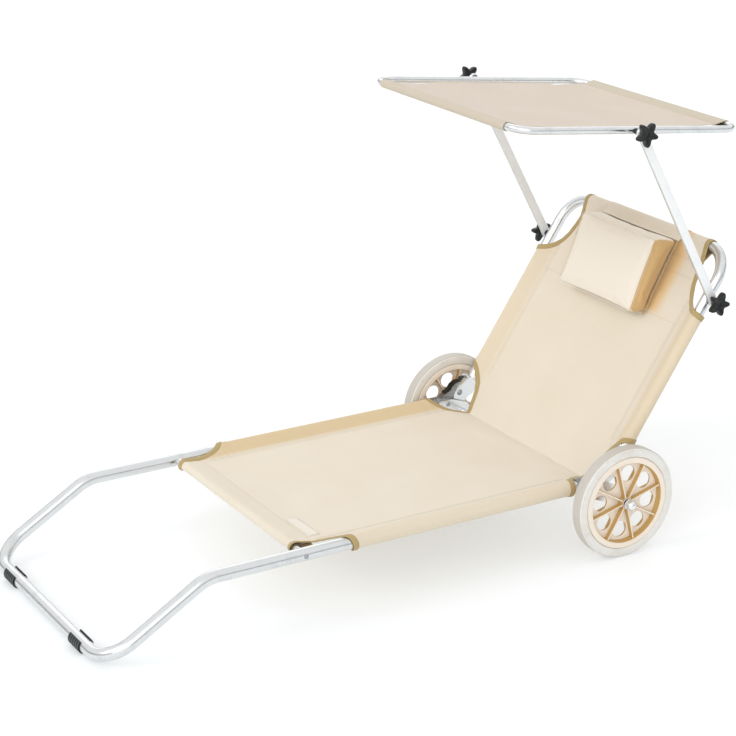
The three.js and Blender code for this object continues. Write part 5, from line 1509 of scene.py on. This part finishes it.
class LOUNGER_OT_cloth(bpy.types.Operator):
    """Lay the seat and back cloth over the frame, with its bindings and stitches"""

    bl_idname = "lounger.cloth"
    bl_label = "Seat and back cloth"

    def execute(self, context):
        cloth = make_lounger_cloth()
        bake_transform(cloth)
        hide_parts("seat_fabric", "back_fabric")
        tape = cloth_bindings().piece("cloth_bindings", finish("binding_tape"), 40)
        seams = cloth_stitches().piece("cloth_stitches", finish("thread"), 60)
        for piece in (tape, seams):
            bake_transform(piece)
        label = dress(make_label(), "frame", "seat_cloth")
        return {"FINISHED"}


class LOUNGER_OT_pillow(bpy.types.Operator):
    """Make the stuffed head pillow, its piping and the flap over the top bar"""

    bl_idname = "lounger.pillow"
    bl_label = "Head pillow"

    def execute(self, context):
        pillow = dress(make_pillow(), "backrest", "pillow_cloth", "head_pillow")
        for name, w, radius in (("back", -0.93, 0.0011), ("front", 0.97, 0.0008)):
            cord = pillow_piping(w, radius).piece("pillow_piping_" + name, finish("pillow_cloth"), 60)
            dress(cord, "backrest", "pillow_cloth")
        flap, length = make_flap()
        dress(flap, "backrest", "seat_cloth", "pillow_flap")
        return {"FINISHED"}


class LOUNGER_OT_canopy(bpy.types.Operator):
    """Make the canopy's bows, cloth and stitches"""

    bl_idname = "lounger.canopy"
    bl_label = "Canopy"

    def execute(self, context):
        front, rear = make_canopy_tubes()
        dress(front, "canopy", "aluminium_tube", "canopy_tube_front")
        dress(rear, "canopy", "aluminium_tube", "canopy_tube_rear")
        sheet = dress(make_canopy_cloth(), "canopy", "canopy_cloth", "canopy_fabric")
        seams = dress(canopy_stitches().piece("canopy_stitches", finish("thread"), 60), "canopy", "canopy_cloth")
        return {"FINISHED"}


class LOUNGER_OT_frame(bpy.types.Operator):
    """Make the bent tubes of seat and back and the clips at the foot"""

    bl_idname = "lounger.frame"
    bl_label = "Tubes and foot clips"

    def execute(self, context):
        main, bar = make_frame_tubes()
        dress(main, "frame", "aluminium_tube", "main_frame_tube")
        dress(bar, "frame", "aluminium_tube", "seat_front_tube")
        dress(make_back_tube(), "backrest", "aluminium_tube", "back_tube")
        for name, side in SIDES.items():
            clip = make_foot_clip(side).piece("foot_grip_" + name, finish("black_plastic"), 30)
            # The rib tops get a lighter black as a painted highlight
            second_finish(clip, "painted_rib_highlight", middles(clip.data, (SHIFT, FOOT_Z))[0] > RAIL_R + 0.0029)
            dress(clip, "frame", "black_plastic", "foot_clip_" + name)
        return {"FINISHED"}


class LOUNGER_OT_arms(bpy.types.Operator):
    """Make the canopy's arms and star knobs"""

    bl_idname = "lounger.arms"
    bl_label = "Arms and knobs"

    def execute(self, context):
        for name, side in SIDES.items():
            arm = make_arm(side).piece("arm_bar_" + name, finish("arm_bar"), 40)
            second_finish(arm, "aluminium_tube", facing(arm.data) < 0.85)
            dress(arm, "canopy_arms", "aluminium_tube", "canopy_arm_" + name)
            for level, x in (("lower", 0.0), ("upper", ARM_LENGTH)):
                turned = math.radians(KNOB_TURNS[level, name])
                knob = star_knob(side, x, turned).piece(level + "_star_" + name, finish("black_plastic"), 50)
                dress(knob, level + "_clamp_" + name, "black_plastic", level + "_knob_" + name)
        return {"FINISHED"}


class LOUNGER_OT_wheels(bpy.types.Operator):
    """Make the ribbed rims and their tyres"""

    bl_idname = "lounger.wheels"
    bl_label = "Wheels"

    def execute(self, context):
        for name in WHEELS:
            rim, tyre = make_wheel(name)
            rim = rim.piece("rim_" + name, finish("wheel_plastic"), 35)
            away = middles(rim.data, AXLE)[0]
            # Faces across the axle and the ring's rim get the paler copy as painted light; walls and ribs stay darker
            # as painted shade
            second_finish(rim, "painted_lit_face", (facing(rim.data) > 0.8) | (away > RIM_EDGE_R))
            dress(rim, "wheel_" + name, "wheel_plastic", "wheel_rim_" + name)
            tyre = tyre.piece("tyre_ring_" + name, finish("pale_tyre"), 30)
            # The tread is greyer than the sidewalls
            second_finish(tyre, "tread", middles(tyre.data, AXLE)[0] > TREAD_R)
            dress(tyre, "wheel_" + name, "pale_tyre", "tyre_" + name)
            cap = make_axle_end(SIDES[name]).piece("axle_end_" + name, finish("zinc_steel"), 35)
            # The collar gets the black plastic finish as painted shade
            second_finish(cap, "black_plastic", np.abs(middles(cap.data, AXLE)[1]) < COLLAR_END)
            dress(cap, "frame", "zinc_steel", "axle_cap_" + name)
        return {"FINISHED"}


class LOUNGER_OT_fittings(bpy.types.Operator):
    """Finish the small metal and plastic parts that stay as the frame has them"""

    bl_idname = "lounger.fittings"
    bl_label = "Fittings"

    def execute(self, context):
        for node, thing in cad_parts.items():
            if thing.hide_render:
                continue
            # Washers get black plastic as painted shade; covers and spacers are black plastic
            black = any(word in node for word in ("cover", "spacer", "washer"))
            # Screws, rivets and pins are darker steel; the hinge's lower shell gets it as painted shade
            dull = any(word in node for word in ("screw", "rivet", "pin", "lower_shell"))
            paint(node, "black_plastic" if black else "dull_steel" if dull else "zinc_steel")
            rounding = thing.modifiers.new("rounded_edges", "BEVEL")
            rounding.width, rounding.segments = 0.0004, 2
            rounding.limit_method, rounding.angle_limit = "ANGLE", math.radians(40)
        return {"FINISHED"}


# Camera fitted to the photograph: focal length and side in its pixels, place, and turn in degrees
PHOTO_FOCAL, PHOTO_SIDE = 2099.56, 736
CAMERA_PLACE = (-2.16655, -3.6557 + MIDDLE_Y, 1.9334)
CAMERA_TURN = (70.122, 0.0, -30.73)
FLOOR_DROP = 0.0005

# Name, direction it comes from, spread in degrees, share of the key strength
LIGHTS = (
    ("key", (-1.25, 0.15, 0.85), 20, 0.29),
    ("front", (-1.05, -1.15, 0.60), 60, 0.40),
    ("rim", (0.47, 0.79, 0.39), 50, 0.15),
)


class LOUNGER_OT_stage(bpy.types.Operator):
    """Set the floor, the soft lights and the camera"""

    bl_idname = "lounger.stage"
    bl_label = "Stage"

    @staticmethod
    def make_world(context):
        """Soft white light from above that darkens towards the horizon, so that tubes show light and dark streaks."""
        world = bpy.data.worlds.new("studio")
        world.use_nodes = True
        nodes, links = world.node_tree.nodes, world.node_tree.links
        place, split, ramp = (nodes.new("ShaderNode" + n) for n in ("TexCoord", "SeparateXYZ", "ValToRGB"))
        links.new(place.outputs["Generated"], split.inputs[0])
        links.new(split.outputs["Z"], ramp.inputs[0])
        stops = ramp.color_ramp.elements
        stops[0].position, stops[0].color = 0.0, (0.9, 0.9, 0.9, 1)
        stops[1].position, stops[1].color = 0.25, (1, 1, 1, 1)
        for place, grey in ((0.05, 0.10), (0.17, 0.24)):
            stop = stops.new(place)
            stop.color = (grey, grey, grey, 1)
        links.new(ramp.outputs["Color"], nodes["Background"].inputs["Color"])
        nodes["Background"].inputs["Strength"].default_value = 1.0
        context.scene.world = world

    def execute(self, context):
        settings = context.scene.lounger_stage
        reach = settings.floor_half
        across = np.linspace(-reach, reach, 5)
        x, y = np.meshgrid(across, across, indexing="ij")
        floor = Shape().grid(np.stack([x, y, 0 * x - FLOOR_DROP], axis=-1))
        floor = floor.piece("studio_floor", finish("floor"), 60, False)
        context.scene.view_settings.view_transform = "Standard"
        self.make_world(context)
        for name, place, spread, share in LIGHTS:
            lamp = bpy.data.lights.new(name, "SUN")
            lamp.angle, lamp.energy = math.radians(spread), settings.key_strength * share
            thing = bpy.data.objects.new(name, lamp)
            thing.location = place
            thing.rotation_euler = Vector(place).to_track_quat("Z", "Y").to_euler()
            context.scene.collection.objects.link(thing)
        camera = bpy.data.cameras.new("photo_camera")
        camera.sensor_width, camera.lens = 36.0, 36.0 * PHOTO_FOCAL / PHOTO_SIDE
        camera.clip_start, camera.clip_end = 0.1, 200.0
        thing = bpy.data.objects.new("photo_camera", camera)
        thing.location = CAMERA_PLACE
        thing.rotation_euler = tuple(math.radians(a) for a in CAMERA_TURN)
        context.scene.collection.objects.link(thing)
        context.scene.camera = thing
        return {"FINISHED"}


STEPS = (
    LOUNGER_OT_stage,
    LOUNGER_OT_frame,
    LOUNGER_OT_cloth,
    LOUNGER_OT_pillow,
    LOUNGER_OT_canopy,
    LOUNGER_OT_arms,
    LOUNGER_OT_wheels,
    LOUNGER_OT_fittings,
)


class LOUNGER_PT_panel(bpy.types.Panel):
    """Buttons for the lounger's pieces and its stage"""

    bl_idname = "LOUNGER_PT_panel"
    bl_label = "Sun lounger"
    bl_space_type = "VIEW_3D"
    bl_region_type = "UI"
    bl_category = "Lounger"

    def draw(self, context):
        scene = context.scene
        for step in STEPS:
            self.layout.operator(step.bl_idname, text=step.bl_label)
        for name in ("binding_width", "stitch_pitch", "seat_colour", "canopy_colour", "binding_colour", "wheel_colour"):
            self.layout.prop(scene.lounger_cloth, name)
        self.layout.prop(scene.lounger_stage, "floor_half")
        self.layout.prop(scene.lounger_stage, "key_strength")


CLASSES = (LoungerCloth, LoungerStage, *STEPS, LOUNGER_PT_panel)


def register():
    for cls in CLASSES:
        bpy.utils.register_class(cls)
    bpy.types.Scene.lounger_cloth = bpy.props.PointerProperty(type=LoungerCloth)
    bpy.types.Scene.lounger_stage = bpy.props.PointerProperty(type=LoungerStage)


def unregister():
    del bpy.types.Scene.lounger_stage, bpy.types.Scene.lounger_cloth
    for cls in reversed(CLASSES):
        bpy.utils.unregister_class(cls)


def main():
    register()
    for step in STEPS:
        group, name = step.bl_idname.split(".")
        getattr(getattr(bpy.ops, group), name)()
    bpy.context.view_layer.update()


if __name__ == "__main__":
    main()
